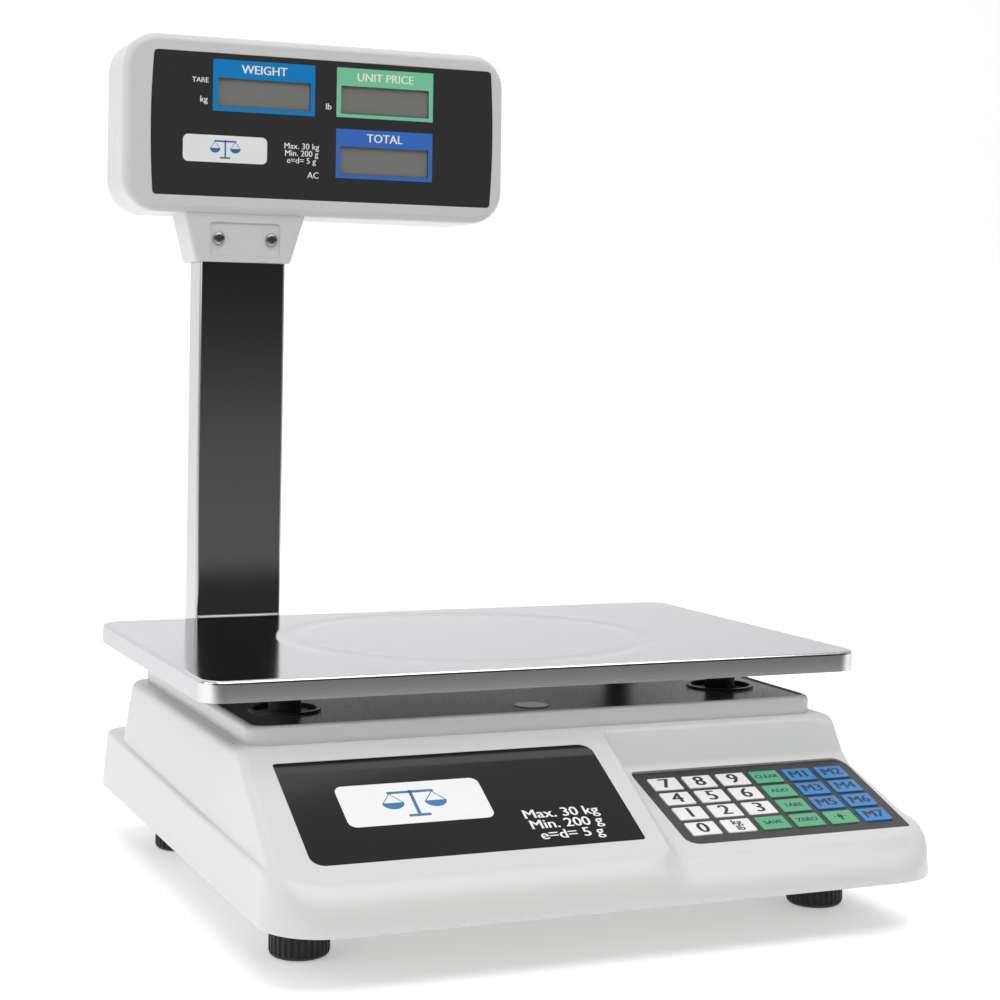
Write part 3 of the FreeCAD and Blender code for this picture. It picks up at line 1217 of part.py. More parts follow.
def all_pieces():
    """Every piece of the scale by name."""
    pieces = {
        "top_cover": top_cover(),
        "base_tray": base_tray(),
        "case_screws": case_screws(),
        "deck_panel": deck_panel(),
        "front_window": window_panel(PANEL_GAP, PANEL_SET, WINDOW_THICK),
        "keypad_overlay": keypad_overlay(),
        "keypad_board": keypad_board(),
        "weighing_pan": weighing_pan(),
        "pan_carrier": pan_carrier(),
        "pan_posts": pan_posts(),
        "load_cell": load_cell(),
        "load_cell_spacers": load_cell_spacers(),
        "load_cell_bolts": load_cell_bolts(),
        "bubble_level": bubble_level(),
        "pole": pole(),
        "pole_bracket": pole_bracket(),
        "head_front_shell": head_front_shell(),
        "head_rear_shell": head_rear_shell(),
        "head_screws": head_screws(),
        "front_display_panel": display_face(True),
        "rear_display_panel": display_face(False),
        "lcd_glasses": lcd_glasses(),
        "display_board": display_board(),
        "main_board": main_board(),
        "battery": battery(),
        "supply_socket": supply_socket(),
        "switch_frame": switch_frame(),
        "power_rocker": power_rocker(),
    }
    for name, x, v in key_places():
        pieces[f"key_{name}"] = key(x, v)
    for name, (x, y) in FEET.items():
        pieces[f"foot_knob_{name}"] = foot_knob(x, y)
        pieces[f"foot_stud_{name}"] = foot_stud(x, y)
    return pieces


os.makedirs("parts", exist_ok=True)
for piece_name, piece in all_pieces().items():
    save(piece_name, piece)
    print(piece_name, "valid" if piece.isValid() else "INVALID", len(piece.Solids), round(piece.Volume))
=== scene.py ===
"""Looks of a price-computing counter scale with a display head on a pole."""
import math

import bmesh
import bpy
import numpy as np
from mathutils import Matrix, Vector


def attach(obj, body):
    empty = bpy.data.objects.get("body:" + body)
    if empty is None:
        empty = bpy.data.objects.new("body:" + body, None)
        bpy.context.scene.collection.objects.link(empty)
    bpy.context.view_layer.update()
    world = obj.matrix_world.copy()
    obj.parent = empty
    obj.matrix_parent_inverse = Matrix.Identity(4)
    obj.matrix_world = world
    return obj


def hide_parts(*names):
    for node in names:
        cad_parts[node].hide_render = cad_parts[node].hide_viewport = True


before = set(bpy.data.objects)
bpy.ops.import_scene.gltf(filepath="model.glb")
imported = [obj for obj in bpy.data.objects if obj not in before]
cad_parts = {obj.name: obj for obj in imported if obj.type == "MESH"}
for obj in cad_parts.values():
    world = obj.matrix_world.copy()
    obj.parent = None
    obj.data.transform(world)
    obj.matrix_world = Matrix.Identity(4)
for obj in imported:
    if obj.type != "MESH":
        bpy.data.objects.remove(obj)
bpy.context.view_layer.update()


# ---- Camera -----------------------------------------------------------------------------------
# A long lens at counter height, level with the pole's middle and turned in from the left. The
# small roll follows the table edge, and the shift keeps the uprights upright.

camera_data = bpy.data.cameras.new("camera")
camera_data.lens = 75.53
camera_data.sensor_width = 36.0
camera_data.shift_x = -0.0037
camera_data.shift_y = -0.1609
camera = bpy.data.objects.new("camera", camera_data)
bpy.context.scene.collection.objects.link(camera)
bpy.context.scene.camera = camera
CAMERA_PLACE = Vector((-0.4067, -0.9984, 0.2636))
CAMERA_TURN = math.radians(22.585)
CAMERA_RISE = math.radians(0.5175)
CAMERA_ROLL = 0.0133
look = Vector((
    math.sin(CAMERA_TURN) * math.cos(CAMERA_RISE),
    math.cos(CAMERA_TURN) * math.cos(CAMERA_RISE),
    math.sin(CAMERA_RISE),
))
level_right = Vector((math.cos(CAMERA_TURN), -math.sin(CAMERA_TURN), 0.0))
level_up = level_right.cross(look)
right = level_right * math.cos(CAMERA_ROLL) + level_up * math.sin(CAMERA_ROLL)
up = right.cross(look)
camera.matrix_world = Matrix((
    (right.x, up.x, -look.x, CAMERA_PLACE.x),
    (right.y, up.y, -look.y, CAMERA_PLACE.y),
    (right.z, up.z, -look.z, CAMERA_PLACE.z),
    (0.0, 0.0, 0.0, 1.0),
))


# ---- Floor and studio light -------------------------------------------------------------------
# A white sweep that rises behind the scale and glows a little, with its colour and glow painted dark
# towards the viewer as painted shade for the polished steel to reflect; a wide soft light overhead,
# one from the left, and a dim room on the viewer's side, which the steel also reflects.

MM = 0.001


def node(tree, kind, **inputs):
    """One shader node with some of its inputs set by name or number."""
    made = tree.nodes.new(kind)
    for key, value in inputs.items():
        numbered = key[0] == "i" and key[1:].isdigit()
        made.inputs[int(key[1:]) if numbered else key].default_value = value
    return made


def grid_quads(index):
    """Four-cornered faces between neighbouring rows and columns of a grid of vertex numbers."""
    corners = [index[:-1, :-1], index[:-1, 1:], index[1:, 1:], index[1:, :-1]]
    return np.stack(corners, -1).reshape(-1, 4)


def grid_faces(rows, columns, wrap_rows=False, wrap_columns=False):
    """Quads of a rows by columns grid of vertices, as an array of four indices each."""
    index = np.arange(rows * columns).reshape(rows, columns)
    if wrap_rows:
        index = np.vstack([index, index[:1]])
    if wrap_columns:
        index = np.hstack([index, index[:, :1]])
    return grid_quads(index)


def mesh_object(name, points, faces, body=None, smooth=True):
    """New object at the origin from points in millimetres and faces, all turned outwards."""
    data = bpy.data.meshes.new(name)
    faces = faces if isinstance(faces, list) else faces.tolist()
    data.from_pydata((np.asarray(points, float).reshape(-1, 3) * MM).tolist(), [], faces)
    form = bmesh.new()
    form.from_mesh(data)
    bmesh.ops.remove_doubles(form, verts=form.verts, dist=2e-6)
    bmesh.ops.recalc_face_normals(form, faces=form.faces)
    form.to_mesh(data)
    form.free()
    made = bpy.data.objects.new(name, data)
    bpy.context.scene.collection.objects.link(made)
    data.polygons.foreach_set("use_smooth", [smooth] * len(data.polygons))
    if body:
        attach(made, body)
    return made


SWEEP_HALF_WIDTH = 4000.0
SWEEP_FRONT = -3000.0
SWEEP_BEND = 1600.0
SWEEP_RADIUS = 900.0
SWEEP_TOP = 3600.0
bend = np.linspace(0, math.pi / 2, 24)
sweep_y = np.concatenate([
    [SWEEP_FRONT], SWEEP_BEND + SWEEP_RADIUS * np.sin(bend), [SWEEP_BEND + SWEEP_RADIUS]
])
sweep_z = np.concatenate([[0.0], SWEEP_RADIUS * (1 - np.cos(bend)), [SWEEP_TOP]])
sweep_points = np.stack([
    np.stack([np.full_like(sweep_y, side * SWEEP_HALF_WIDTH), sweep_y, sweep_z], -1)
    for side in (-1, 1)
])
floor = mesh_object("floor_sweep", sweep_points, grid_faces(2, len(sweep_y)))

paper = bpy.data.materials.new("white_paper_sweep")
paper.use_nodes = True
tree = paper.node_tree
shader = tree.nodes["Principled BSDF"]
shader.inputs["Roughness"].default_value = 0.9
shader.inputs["Specular IOR Level"].default_value = 0.1
place = tree.nodes.new("ShaderNodeTexCoord")
mottle = node(tree, "ShaderNodeTexNoise", Scale=3.0, Detail=2.0)
tone = node(tree, "ShaderNodeMapRange", **{"To Min": 0.90, "To Max": 0.93})
parts = tree.nodes.new("ShaderNodeSeparateXYZ")
# Painted shade: the floor's colour and glow fall to an eighth towards the viewer, a dark stretch for
# the steel to reflect.
viewer_side_painted_shade = node(tree, "ShaderNodeMapRange", **{
    "From Min": -0.75, "From Max": -0.38, "To Min": 0.12, "To Max": 1.0
})
shade = tree.nodes.new("ShaderNodeMath")
shade.operation = "MULTIPLY"
# Painted glow: the floor gives off light although it is no lamp, which keeps it white.
painted_glow = node(tree, "ShaderNodeMath", i1=0.34)
painted_glow.operation = "MULTIPLY"
tree.links.new(place.outputs["Object"], mottle.inputs["Vector"])
tree.links.new(place.outputs["Object"], parts.inputs[0])
tree.links.new(mottle.outputs["Fac"], tone.inputs["Value"])
tree.links.new(parts.outputs["Y"], viewer_side_painted_shade.inputs["Value"])
tree.links.new(tone.outputs["Result"], shade.inputs[0])
tree.links.new(viewer_side_painted_shade.outputs["Result"], shade.inputs[1])
tree.links.new(shade.outputs[0], shader.inputs["Base Color"])
tree.links.new(viewer_side_painted_shade.outputs["Result"], painted_glow.inputs[0])
tree.links.new(painted_glow.outputs[0], shader.inputs["Emission Strength"])
shader.inputs["Emission Color"].default_value = (1.0, 1.0, 1.0, 1.0)
floor.data.materials.append(paper)

world = bpy.data.worlds.new("studio")
bpy.context.scene.world = world
world.use_nodes = True
tree = world.node_tree
background = tree.nodes["Background"]
direction = tree.nodes.new("ShaderNodeTexCoord")
split = tree.nodes.new("ShaderNodeSeparateXYZ")
toward = node(tree, "ShaderNodeMapRange", **{"From Min": -0.75, "From Max": 0.15, "To Max": 0.62})
low = node(tree, "ShaderNodeMapRange", **{
    "From Min": -0.13, "From Max": 0.02, "To Min": 0.42, "To Max": 0.008
})
overhead = node(tree, "ShaderNodeMapRange", **{"From Min": 0.25, "From Max": 0.8, "To Max": 0.62})
for ramp in (toward, low, overhead):
    ramp.interpolation_type = "SMOOTHSTEP"
strongest = tree.nodes.new("ShaderNodeMath")
strongest.operation = "MAXIMUM"
tree.links.new(direction.outputs["Generated"], split.inputs[0])
tree.links.new(split.outputs["Y"], toward.inputs["Value"])
tree.links.new(split.outputs["Z"], overhead.inputs["Value"])
tree.links.new(split.outputs["Z"], low.inputs["Value"])
tree.links.new(low.outputs["Result"], toward.inputs["To Min"])
tree.links.new(toward.outputs["Result"], strongest.inputs[0])
tree.links.new(overhead.outputs["Result"], strongest.inputs[1])
tree.links.new(strongest.outputs[0], background.inputs["Strength"])
background.inputs["Color"].default_value = (1.0, 1.0, 1.0, 1.0)


def soft_light(name, place, aim, width, height, power):
    """Rectangular soft light at a place, turned to face a point."""
    data = bpy.data.lights.new(name, "AREA")
    data.shape = "RECTANGLE"
    data.size = width
    data.size_y = height
    data.energy = power
    lamp = bpy.data.objects.new(name, data)
    bpy.context.scene.collection.objects.link(lamp)
    lamp.location = place
    lamp.rotation_euler = (Vector(aim) - Vector(place)).to_track_quat("-Z", "Y").to_euler()


soft_light("overhead", (0.1, -0.9, 1.9), (0.0, 0.0, 0.1), 2.2, 1.3, 27.0)
soft_light("left_side", (-2.2, -0.3, 1.1), (0.0, 0.0, 0.15), 1.6, 1.6, 12.0)
soft_light("back_wash", (0.4, 1.2, 2.4), (0.2, 2.4, 0.4), 3.0, 1.0, 12.0)
bpy.context.scene.view_settings.view_transform = "Standard"


# ---- Top cover --------------------------------------------------------------------------------
# The white injection-moulded casing: a skirt, a narrower upper tier that slopes down to a round
# nose in front, and a sunk bed for the keypad. It is screwed to the tray from below.

CASE_BOTTOM = 25.0
SKIRT_HALF = 162.5
SKIRT_FRONT = -180.0
SKIRT_BACK = 169.5
SKIRT_LEAN = 0.08
SKIRT_BACK_LEAN = 0.02
SKIRT_FRONT_CORNER = 28.0
SKIRT_BACK_CORNER = 14.0
SHOULDER_AT_FRONT = 47.5
SHOULDER_AT_BACK = 55.5
SHOULDER_RUN = (-210.0, 199.5)
TIER_HALF = 154.0
TIER_FRONT = -186.0
TIER_BACK = 134.0
TIER_LEAN = 0.12
TIER_CORNER = 13.0
TIER_FOOT_Z = 48.0
LEDGE = 87.0
SLOPE = math.radians(27.0)
SLOPE_LOW = (-160.0, 50.4)
BED = math.radians(18.3)
BED_LOW = (-159.6, 46.0)
STEEP = math.radians(64.0)
STEEP_TOP = -88.0
CREST = ((-91.0, 25.0), (-157.0, 23.4))
CREST_LEAN = math.radians(22.0)
NOSE_ROUND = 12.0
EDGE_ROUND = 4.0
LEDGE_ROUND = 3.0
CREST_ROUND = 1.2
SCOOP_ROUND = 3.0
SHOULDER_ROUND = 1.8
FOOT_ROUND = 0.8
HEM_ROUND = 0.8
COVER_WALL = 2.5
FRONT_LINE = -178.0           # the lid's edge: front line, and the centres of its corner arcs
LID_CORNER_X = 130.9
LID_CORNER_Y = -150.0
LID_BACK_X = 141.0
LID_BACK_Y = 121.0
LID_LINES = (-158.0, -102.0, -96.0, -86.0, -60.0, 104.0, 119.0)   # where the lid bends
SIDE_MIDDLE = 60.0
HEM_FOLD = 1.6
CREST_BLEND = (14.0, 8.0)     # how far in from the side the crest's edge turns sharp


def slope_height(y):
    """Height of the front slope: a straight rise from its low edge."""
    return SLOPE_LOW[1] + (y - SLOPE_LOW[0]) * math.tan(SLOPE)


def bed_height(y):
    """Height of the keypad bed: a straight, flatter rise from its low edge."""
    return BED_LOW[1] + (y - BED_LOW[0]) * math.tan(BED)


def steep_height(y):
    """Height of the steep wall behind the keypad: a straight drop forwards from the ledge."""
    return LEDGE + (y - STEEP_TOP) * math.tan(STEEP)


def shoulder_height(y):
    """Height of the skirt's shoulder: a straight rise from front to back."""
    run = (y - SHOULDER_RUN[0]) / (SHOULDER_RUN[1] - SHOULDER_RUN[0])
    return SHOULDER_AT_FRONT + run * (SHOULDER_AT_BACK - SHOULDER_AT_FRONT)


def crest_line(y):
    """Where the crest beside the keypad runs: a straight line between two points in plan."""
    (y0, x0), (y1, x1) = CREST
    return x0 + (y - y0) * (x1 - x0) / (y1 - y0)


def top_height(x, y):
    """Height of the sharp-edged top: the lower of ledge and slope, cut down to the bed on the
    right."""
    crest = slope_height(y) - (x - crest_line(y)) / math.tan(CREST_LEAN)
    scooped = np.maximum(np.maximum(bed_height(y), steep_height(y)), crest)
    return np.minimum(np.minimum(LEDGE, slope_height(y)), scooped)


def rounded_outline(x, y, half, front, back, front_corner, back_corner):
    """Distance outside a rectangle in plan whose corners are arcs: length of the overshoot past
    the arc centres, less the arc's radius. Also how far the way out points to the front."""
    middle = (front + back) / 2
    radius = np.where(y < middle, front_corner, back_corner)
    past_x = np.abs(x) - half + radius
    past_y = np.abs(y - middle) - (back - front) / 2 + radius
    outside = np.hypot(np.maximum(past_x, 0), np.maximum(past_y, 0))
    share = np.maximum(past_y, 0) / np.maximum(outside, 1e-6)
    forward = np.where(y < middle, share, 0) ** 2
    return np.minimum(np.maximum(past_x, past_y), 0) + outside - radius, forward


def both(a, b, radius):
    """Inside a and inside b, with the edge between them rounded to an arc of that radius."""
    return np.minimum(-radius, np.maximum(a, b)) + np.hypot(
        np.maximum(radius + a, 0), np.maximum(radius + b, 0)
    )


def either(a, b, radius):
    """Inside a or inside b, with the corner between them filled to an arc of that radius."""
    return -both(-a, -b, radius)


def cover_distance(p):
    """Distance outside the rounded casing: skirt and tier outlines, joined at the shoulder, cut
    by slope and ledge, then by the keypad bed, its steep back wall and the crest's leaning wall."""
    x, y, z = p[:, 0], p[:, 1], p[:, 2]
    rise = z - CASE_BOTTOM
    skirt, forward = rounded_outline(
        x, y, SKIRT_HALF - SKIRT_LEAN * rise, SKIRT_FRONT, SKIRT_BACK - SKIRT_BACK_LEAN * rise,
        SKIRT_FRONT_CORNER, SKIRT_BACK_CORNER,
    )
    lean = TIER_LEAN * (LEDGE - np.maximum(z, TIER_FOOT_Z))
    tier, _ = rounded_outline(
        x, y, TIER_HALF + lean, TIER_FRONT, TIER_BACK + lean, SKIRT_FRONT_CORNER, TIER_CORNER
    )
    under = z - shoulder_height(y)
    block = both(skirt, either(under, tier, FOOT_ROUND), SHOULDER_ROUND)
    edge = EDGE_ROUND + (NOSE_ROUND - EDGE_ROUND) * forward
    inward = np.clip((block + CREST_BLEND[0]) / CREST_BLEND[1], 0, 1)
    edge_here = CREST_ROUND + (edge - CREST_ROUND) * inward * inward * (3 - 2 * inward)
    top = both((z - slope_height(y)) * math.cos(SLOPE), z - LEDGE, LEDGE_ROUND)
    above_bed = (z - bed_height(y)) * math.cos(BED)
    before_steep = (z - steep_height(y)) * math.cos(STEEP)
    past_crest = (
        (x - crest_line(y)) * math.cos(CREST_LEAN) + (z - slope_height(y)) * math.sin(CREST_LEAN)
    )
    scoop = either(either(above_bed, before_steep, SCOOP_ROUND), past_crest, SCOOP_ROUND)
    form = both(both(block, top, edge), scoop, edge_here)
    return both(form, CASE_BOTTOM - z, HEM_ROUND)


def settle(p, distance, steps=7):
    """Moves points onto the surface: each step goes back along the gradient by the distance."""
    probe = 0.01
    for _ in range(steps):
        value = distance(p)
        slope = np.stack([
            (distance(p + probe * axis) - distance(p - probe * axis)) / (2 * probe)
            for axis in np.eye(3)
        ], -1)
        p = p - (value / np.maximum((slope ** 2).sum(-1), 0.2))[:, None] * slope
    return p


def knot_lines(knots, parts):
    """Values between the knots, each gap divided at the fractions given for it."""
    lines = [knots[0]]
    for start, end, fractions in zip(knots[:-1], knots[1:], parts):
        lines += [start + (end - start) * f for f in fractions]
    return np.array(lines)


def eased(count, power=1.0):
    """Fractions from just past 0 to 1, closer together at the start where power is above 1."""
    return (np.arange(1, count + 1) / count) ** power


def packed(count, power=1.5):
    """Fractions closer together at the end."""
    return np.concatenate([1 - eased(count, power)[-2::-1], [1.0]])


lid_y = knot_lines(
    [LID_CORNER_Y - SKIRT_FRONT_CORNER * math.sqrt(0.5), *LID_LINES,
     LID_BACK_Y + TIER_CORNER * math.sqrt(0.5)],
    [eased(16, 1.3), eased(22), eased(10), eased(22), eased(6, 1.5), eased(6), packed(5),
     packed(14, 1.3)],
)


def lid_half_width(y, right):
    """Half width of the lid's edge at each y: the tier's outline at the height of the top there."""
    height = top_height(np.where(right, 158.0, -158.0), y)
    half = TIER_HALF + TIER_LEAN * (LEDGE - np.maximum(height, TIER_FOOT_Z))
    front = np.clip(LID_CORNER_Y - y, 0, SKIRT_FRONT_CORNER)
    back = np.clip(y - LID_BACK_Y, 0, TIER_CORNER)
    half = half - SKIRT_FRONT_CORNER + np.sqrt(SKIRT_FRONT_CORNER ** 2 - front ** 2)
    return half - TIER_CORNER + np.sqrt(TIER_CORNER ** 2 - back ** 2)


crest_x = crest_line(lid_y)
wall_drop = slope_height(lid_y) - np.maximum(bed_height(lid_y), steep_height(lid_y))
foot_x = crest_x + np.clip(wall_drop * math.tan(CREST_LEAN), 1.5, 7.0)
left_x = -lid_half_width(lid_y, False)
right_x = lid_half_width(lid_y, True)
lid_x = knot_lines(
    [left_x, left_x + 12.0, np.full_like(lid_y, -100.0), crest_x - 6.0, crest_x, foot_x,
     foot_x + 6.0, np.full_like(lid_y, 100.0), right_x - 12.0, right_x],
    [eased(13, 1.3), eased(8), eased(16), packed(9), eased(8), eased(9, 1.5), eased(12), eased(8),
     packed(13, 1.3)],
).T
lid_rows, lid_columns = lid_x.shape
across = np.abs(lid_x[0])
front_line = LID_CORNER_Y - np.sqrt(
    SKIRT_FRONT_CORNER ** 2 - np.clip(across - LID_CORNER_X, 0, SKIRT_FRONT_CORNER) ** 2
)
front_line = np.where(across <= LID_CORNER_X, FRONT_LINE, front_line)
across = np.abs(lid_x[-1])
back_line = LID_BACK_Y + np.sqrt(
    TIER_CORNER ** 2 - np.clip(across - LID_BACK_X, 0, TIER_CORNER) ** 2
)
fade_front = 1 - np.clip((lid_y + 160.0) / 25.0, 0, 1)
fade_back = np.clip((lid_y - 112.0) / 12.0, 0, 1)
lid_plan_y = (
    lid_y[:, None] + fade_front[:, None] * (front_line - lid_y[0])
    + fade_back[:, None] * (back_line - lid_y[-1])
)
lid = np.stack([lid_x, lid_plan_y, top_height(lid_x, lid_plan_y)], -1)

lid_index = np.arange(lid_rows * lid_columns).reshape(lid_rows, lid_columns)
edge_index = np.concatenate([
    lid_index[0, :-1], lid_index[:-1, -1], lid_index[-1, :0:-1], lid_index[:0:-1, 0]
])
edge = lid.reshape(-1, 3)[edge_index]


def outline_point(x, y, z):
    """Point of the skirt's outline at height z that belongs to a point of the lid's edge, and the
    outward direction there: the same direction from the corner's centre, or the same share of a
    side."""
    half = SKIRT_HALF - SKIRT_LEAN * (z - CASE_BOTTOM)
    back = SKIRT_BACK - SKIRT_BACK_LEAN * (z - CASE_BOTTOM)
    far = np.abs(x)
    front_turn = np.stack([np.maximum(far - LID_CORNER_X, 0), np.minimum(y - LID_CORNER_Y, 0)], -1)
    back_turn = np.stack([np.maximum(far - LID_BACK_X, 0), np.maximum(y - LID_BACK_Y, 0)], -1)
    front_turn /= np.maximum(np.linalg.norm(front_turn, axis=-1, keepdims=True), 1e-9)
    back_turn /= np.maximum(np.linalg.norm(back_turn, axis=-1, keepdims=True), 1e-9)
    front_x = np.minimum(far / LID_CORNER_X, 1) * (half - SKIRT_FRONT_CORNER)
    back_x = np.minimum(far / LID_BACK_X, 1) * (half - SKIRT_BACK_CORNER)
    side_y = np.interp(
        y, [LID_CORNER_Y, SIDE_MIDDLE, LID_BACK_Y],
        [SKIRT_FRONT + SKIRT_FRONT_CORNER, SIDE_MIDDLE, SKIRT_BACK - SKIRT_BACK_CORNER],
    )
    in_front = y < LID_CORNER_Y
    behind = y > LID_BACK_Y
    px = np.where(in_front, front_x + SKIRT_FRONT_CORNER * front_turn[:, 0],
                  np.where(behind, back_x + SKIRT_BACK_CORNER * back_turn[:, 0], half))
    py = np.where(in_front, SKIRT_FRONT + SKIRT_FRONT_CORNER * (1 + front_turn[:, 1]),
                  np.where(behind, back - SKIRT_BACK_CORNER * (1 - back_turn[:, 1]), side_y))
    turn = np.where(in_front[:, None], front_turn,
                    np.where(behind[:, None], back_turn, [1.0, 0.0]))
    side = np.sign(x)
    return np.stack([px * side, py, z], -1), np.stack([turn[:, 0] * side, turn[:, 1]], -1)


low_z = np.full(len(edge), CASE_BOTTOM)
hem, outward = outline_point(edge[:, 0], edge[:, 1], low_z)
rim_guess, _ = outline_point(edge[:, 0], edge[:, 1], low_z + 20.0)
rim_z = np.minimum(shoulder_height(rim_guess[:, 1]), top_height(rim_guess[:, 0], rim_guess[:, 1]))
rim, _ = outline_point(edge[:, 0], edge[:, 1], rim_z)
shoulder_z = shoulder_height(edge[:, 1])
wall = edge[:, 2] - shoulder_z
foot = edge.copy()
foot[:, :2] += outward * (TIER_LEAN * np.maximum(wall, 0))[:, None]
foot[:, 2] = shoulder_height(foot[:, 1])
foot = np.where((wall > 0.3)[:, None], foot, rim + (edge - rim) * 0.5)


def between(start, end, near_start, near_end, middle):
    """Rows of points from start to end: some at set distances from each end, the rest evenly
    between. Where the run is short the distances shrink with it."""
    length = np.linalg.norm(end - start, axis=-1)
    reach = near_start[-1] + near_end[-1]
    squeeze = np.minimum(1.0, 0.8 * length / reach)
    first = [d * squeeze for d in near_start]
    last = [length - d * squeeze for d in near_end[::-1]]
    even = [first[-1] + (last[0] - first[-1]) * k / (middle + 1) for k in range(1, middle + 1)]
    rows = [d / np.maximum(length, 1e-9) for d in first + even + last]
    return [start + (end - start) * t[:, None] for t in rows]


hem_inside = hem.copy()
hem_inside[:, :2] -= outward * HEM_FOLD
skirt_rows = [hem_inside, hem_inside * 0.5 + hem * 0.5, hem]
skirt_rows += between(hem, rim, [0.4, 1.0, 2.0], [0.5, 1.1, 1.8, 2.6, 3.6, 5.0, 6.5, 8.5], 4)
skirt_rows += [rim] + between(rim, foot, [0.5, 1.1, 2.0], [0.35, 0.8, 1.5], 3)
skirt_rows += [foot] + between(foot, edge, [0.35, 0.8, 1.5], [0.5, 1.1, 1.8, 2.6, 3.6, 5.0], 4)
ring = np.stack(skirt_rows)
ring_rows, ring_columns = ring.shape[:2]

cover_points = settle(np.concatenate([lid.reshape(-1, 3), ring.reshape(-1, 3)]), cover_distance)
ring_index = lid.size // 3 + np.arange(ring_rows * ring_columns).reshape(ring_rows, ring_columns)
ring_index = np.vstack([ring_index, edge_index])
ring_index = np.hstack([ring_index, ring_index[:, :1]])
outer_quads = np.concatenate([grid_quads(lid_index), grid_quads(ring_index)])
hem_edge = ring_index[0]


def surface_normal(p, distance):
    """Outward direction at points of a surface: the slope of its distance, made unit length."""
    probe = 0.01
    slope = np.stack([distance(p + probe * a) - distance(p - probe * a) for a in np.eye(3)], -1)
    return slope / np.maximum(np.linalg.norm(slope, axis=-1, keepdims=True), 1e-9)


def inner_distance(p):
    """Distance outside the cover's hollow: the outer distance plus the wall, open at the bottom."""
    return cover_distance(p) + COVER_WALL


inner_points = settle(
    cover_points - COVER_WALL * surface_normal(cover_points, cover_distance), inner_distance
)
at_hem = cover_points[:, 2] < CASE_BOTTOM + COVER_WALL + 1.5
inner_points[:, 2] = np.where(at_hem, cover_points[:, 2], inner_points[:, 2])
hem_in = hem_edge + len(cover_points)
hem_quads = np.stack([hem_edge[:-1], hem_edge[1:], hem_in[1:], hem_in[:-1]], -1)
cover = mesh_object(
    "top_cover", np.concatenate([cover_points, inner_points]),
    np.concatenate([outer_quads, outer_quads[:, ::-1] + len(cover_points), hem_quads]),
)


def outline(x0, x1, y0, y1, radii, inset=0.0, arc=8, side=1):
    """Points round a rectangle with arc corners, drawn in by inset: each arc turns a quarter about
    its own centre, and each straight side is divided evenly."""
    corners = [(x1, y0, 1, -1), (x1, y1, 1, 1), (x0, y1, -1, 1), (x0, y0, -1, -1)]
    turns = np.linspace(0, math.pi / 2, arc)
    loops = []
    for (x, y, sx, sy), radius, start in zip(corners, radii, (-0.5, 0.0, 0.5, 1.0)):
        reach = max(radius - inset, 0.0)
        centre = np.array([x - sx * (inset + reach), y - sy * (inset + reach)])
        angle = start * math.pi + turns
        loops.append(centre + reach * np.stack([np.cos(angle), np.sin(angle)], -1))
    runs = []
    for now, after in zip(loops, loops[1:] + loops[:1]):
        steps = np.linspace(0, 1, side + 2)[1:-1, None]
        runs += [now, now[-1] + (after[0] - now[-1]) * steps]
    return np.concatenate(runs)


def level(plan, z):
    """Plan points lifted to one height."""
    return np.hstack([plan, np.full((len(plan), 1), float(z))])


def stacked(loops):
    """Points and faces of a closed solid: equal loops joined in order, flat at both ends."""
    count = len(loops[0])
    points = np.concatenate(loops)
    quads = grid_faces(len(loops), count, wrap_columns=True).tolist()
    last = (len(loops) - 1) * count
    return points, quads + [list(range(count))[::-1], list(range(last, last + count))]


def gathered(solids):
    """Several solids' points and faces as one."""
    points, faces, start = [], [], 0
    for some_points, some_faces in solids:
        points.append(some_points)
        faces += [[index + start for index in face] for face in some_faces]
        start += len(some_points)
    return np.concatenate(points), faces


def on_slope(points, angle, y, z):
    """Turns points drawn flat about the origin to a slope, and moves them to its middle."""
    points = np.asarray(points, float)
    across, along, out = points[:, 0], points[:, 1], points[:, 2]
    return np.stack([
        across, y + along * math.cos(angle) - out * math.sin(angle),
        z + along * math.sin(angle) + out * math.cos(angle),
    ], -1)


def cut_with(target, operation, solids, name):
    """Joins or removes closed solids from a mesh, for good."""
    tool = mesh_object(name, *gathered(solids))
    step = target.modifiers.new(name, "BOOLEAN")
    step.operation = operation
    step.solver = "EXACT"
    step.object = tool
    graph = bpy.context.evaluated_depsgraph_get()
    finished = bpy.data.meshes.new_from_object(target.evaluated_get(graph))
    target.modifiers.clear()
    target.data = finished
    bpy.data.objects.remove(tool)


DECK_HALF = 147.0
DECK_FRONT = -82.4
DECK_BACK = 128.0
DECK_TOP = 95.6
DECK_CORNER = 10.0
DECK_ROUND = 2.5
DECK_RIM = 3.2
DECK_FLOOR = 93.6
POSTS = [(x, y) for x in (-117.0, 117.0) for y in (-37.0, 85.0)]
HOLE_RADIUS = 15.3
LEVEL_PLACE = (0.0, -62.0)
LEVEL_RADIUS = 8.75
WINDOW_EDGES = (-141.0, 14.0)
WINDOW_LENGTH = 69.5
KEYPAD_EDGES = (36.0, 153.0)
KEYPAD_LENGTH = 64.7
PANEL_CORNERS = (1.6, 6.5, 1.6, 6.5)   # low right, high right, high left, low left
PANEL_DEEP = 1.3
PANEL_CLEAR = 8.0                      # how far the cutting tools stand above a panel
HOLE_SPAN = (LEDGE - 12.0, DECK_TOP + 2.0)
SIDE_SPAN = (140.0, 170.0)
BED_LIP = 3.0
LEVEL_GAP = 0.06
PAD_EDGE = ((0.0, 0.4), (0.12, 0.12), (0.4, 0.0))   # inset, depth below the face
PAD_X = (156.5, 162.9)
PAD_Y = (58.0, 128.0)
PAD_Z = (28.8, 51.0)
SWITCH = (76.0, 40.0, 10.5, 7.5)       # middle y and z, half length, half height
SOCKET = (110.0, 40.0, 5.56)


def deck_loops(levels):
    """Deck outlines, each drawn in by its inset and lifted to its height."""
    return [
        level(outline(-DECK_HALF, DECK_HALF, DECK_FRONT, DECK_BACK, (DECK_CORNER,) * 4, inset), z)
        for inset, z in levels
    ]


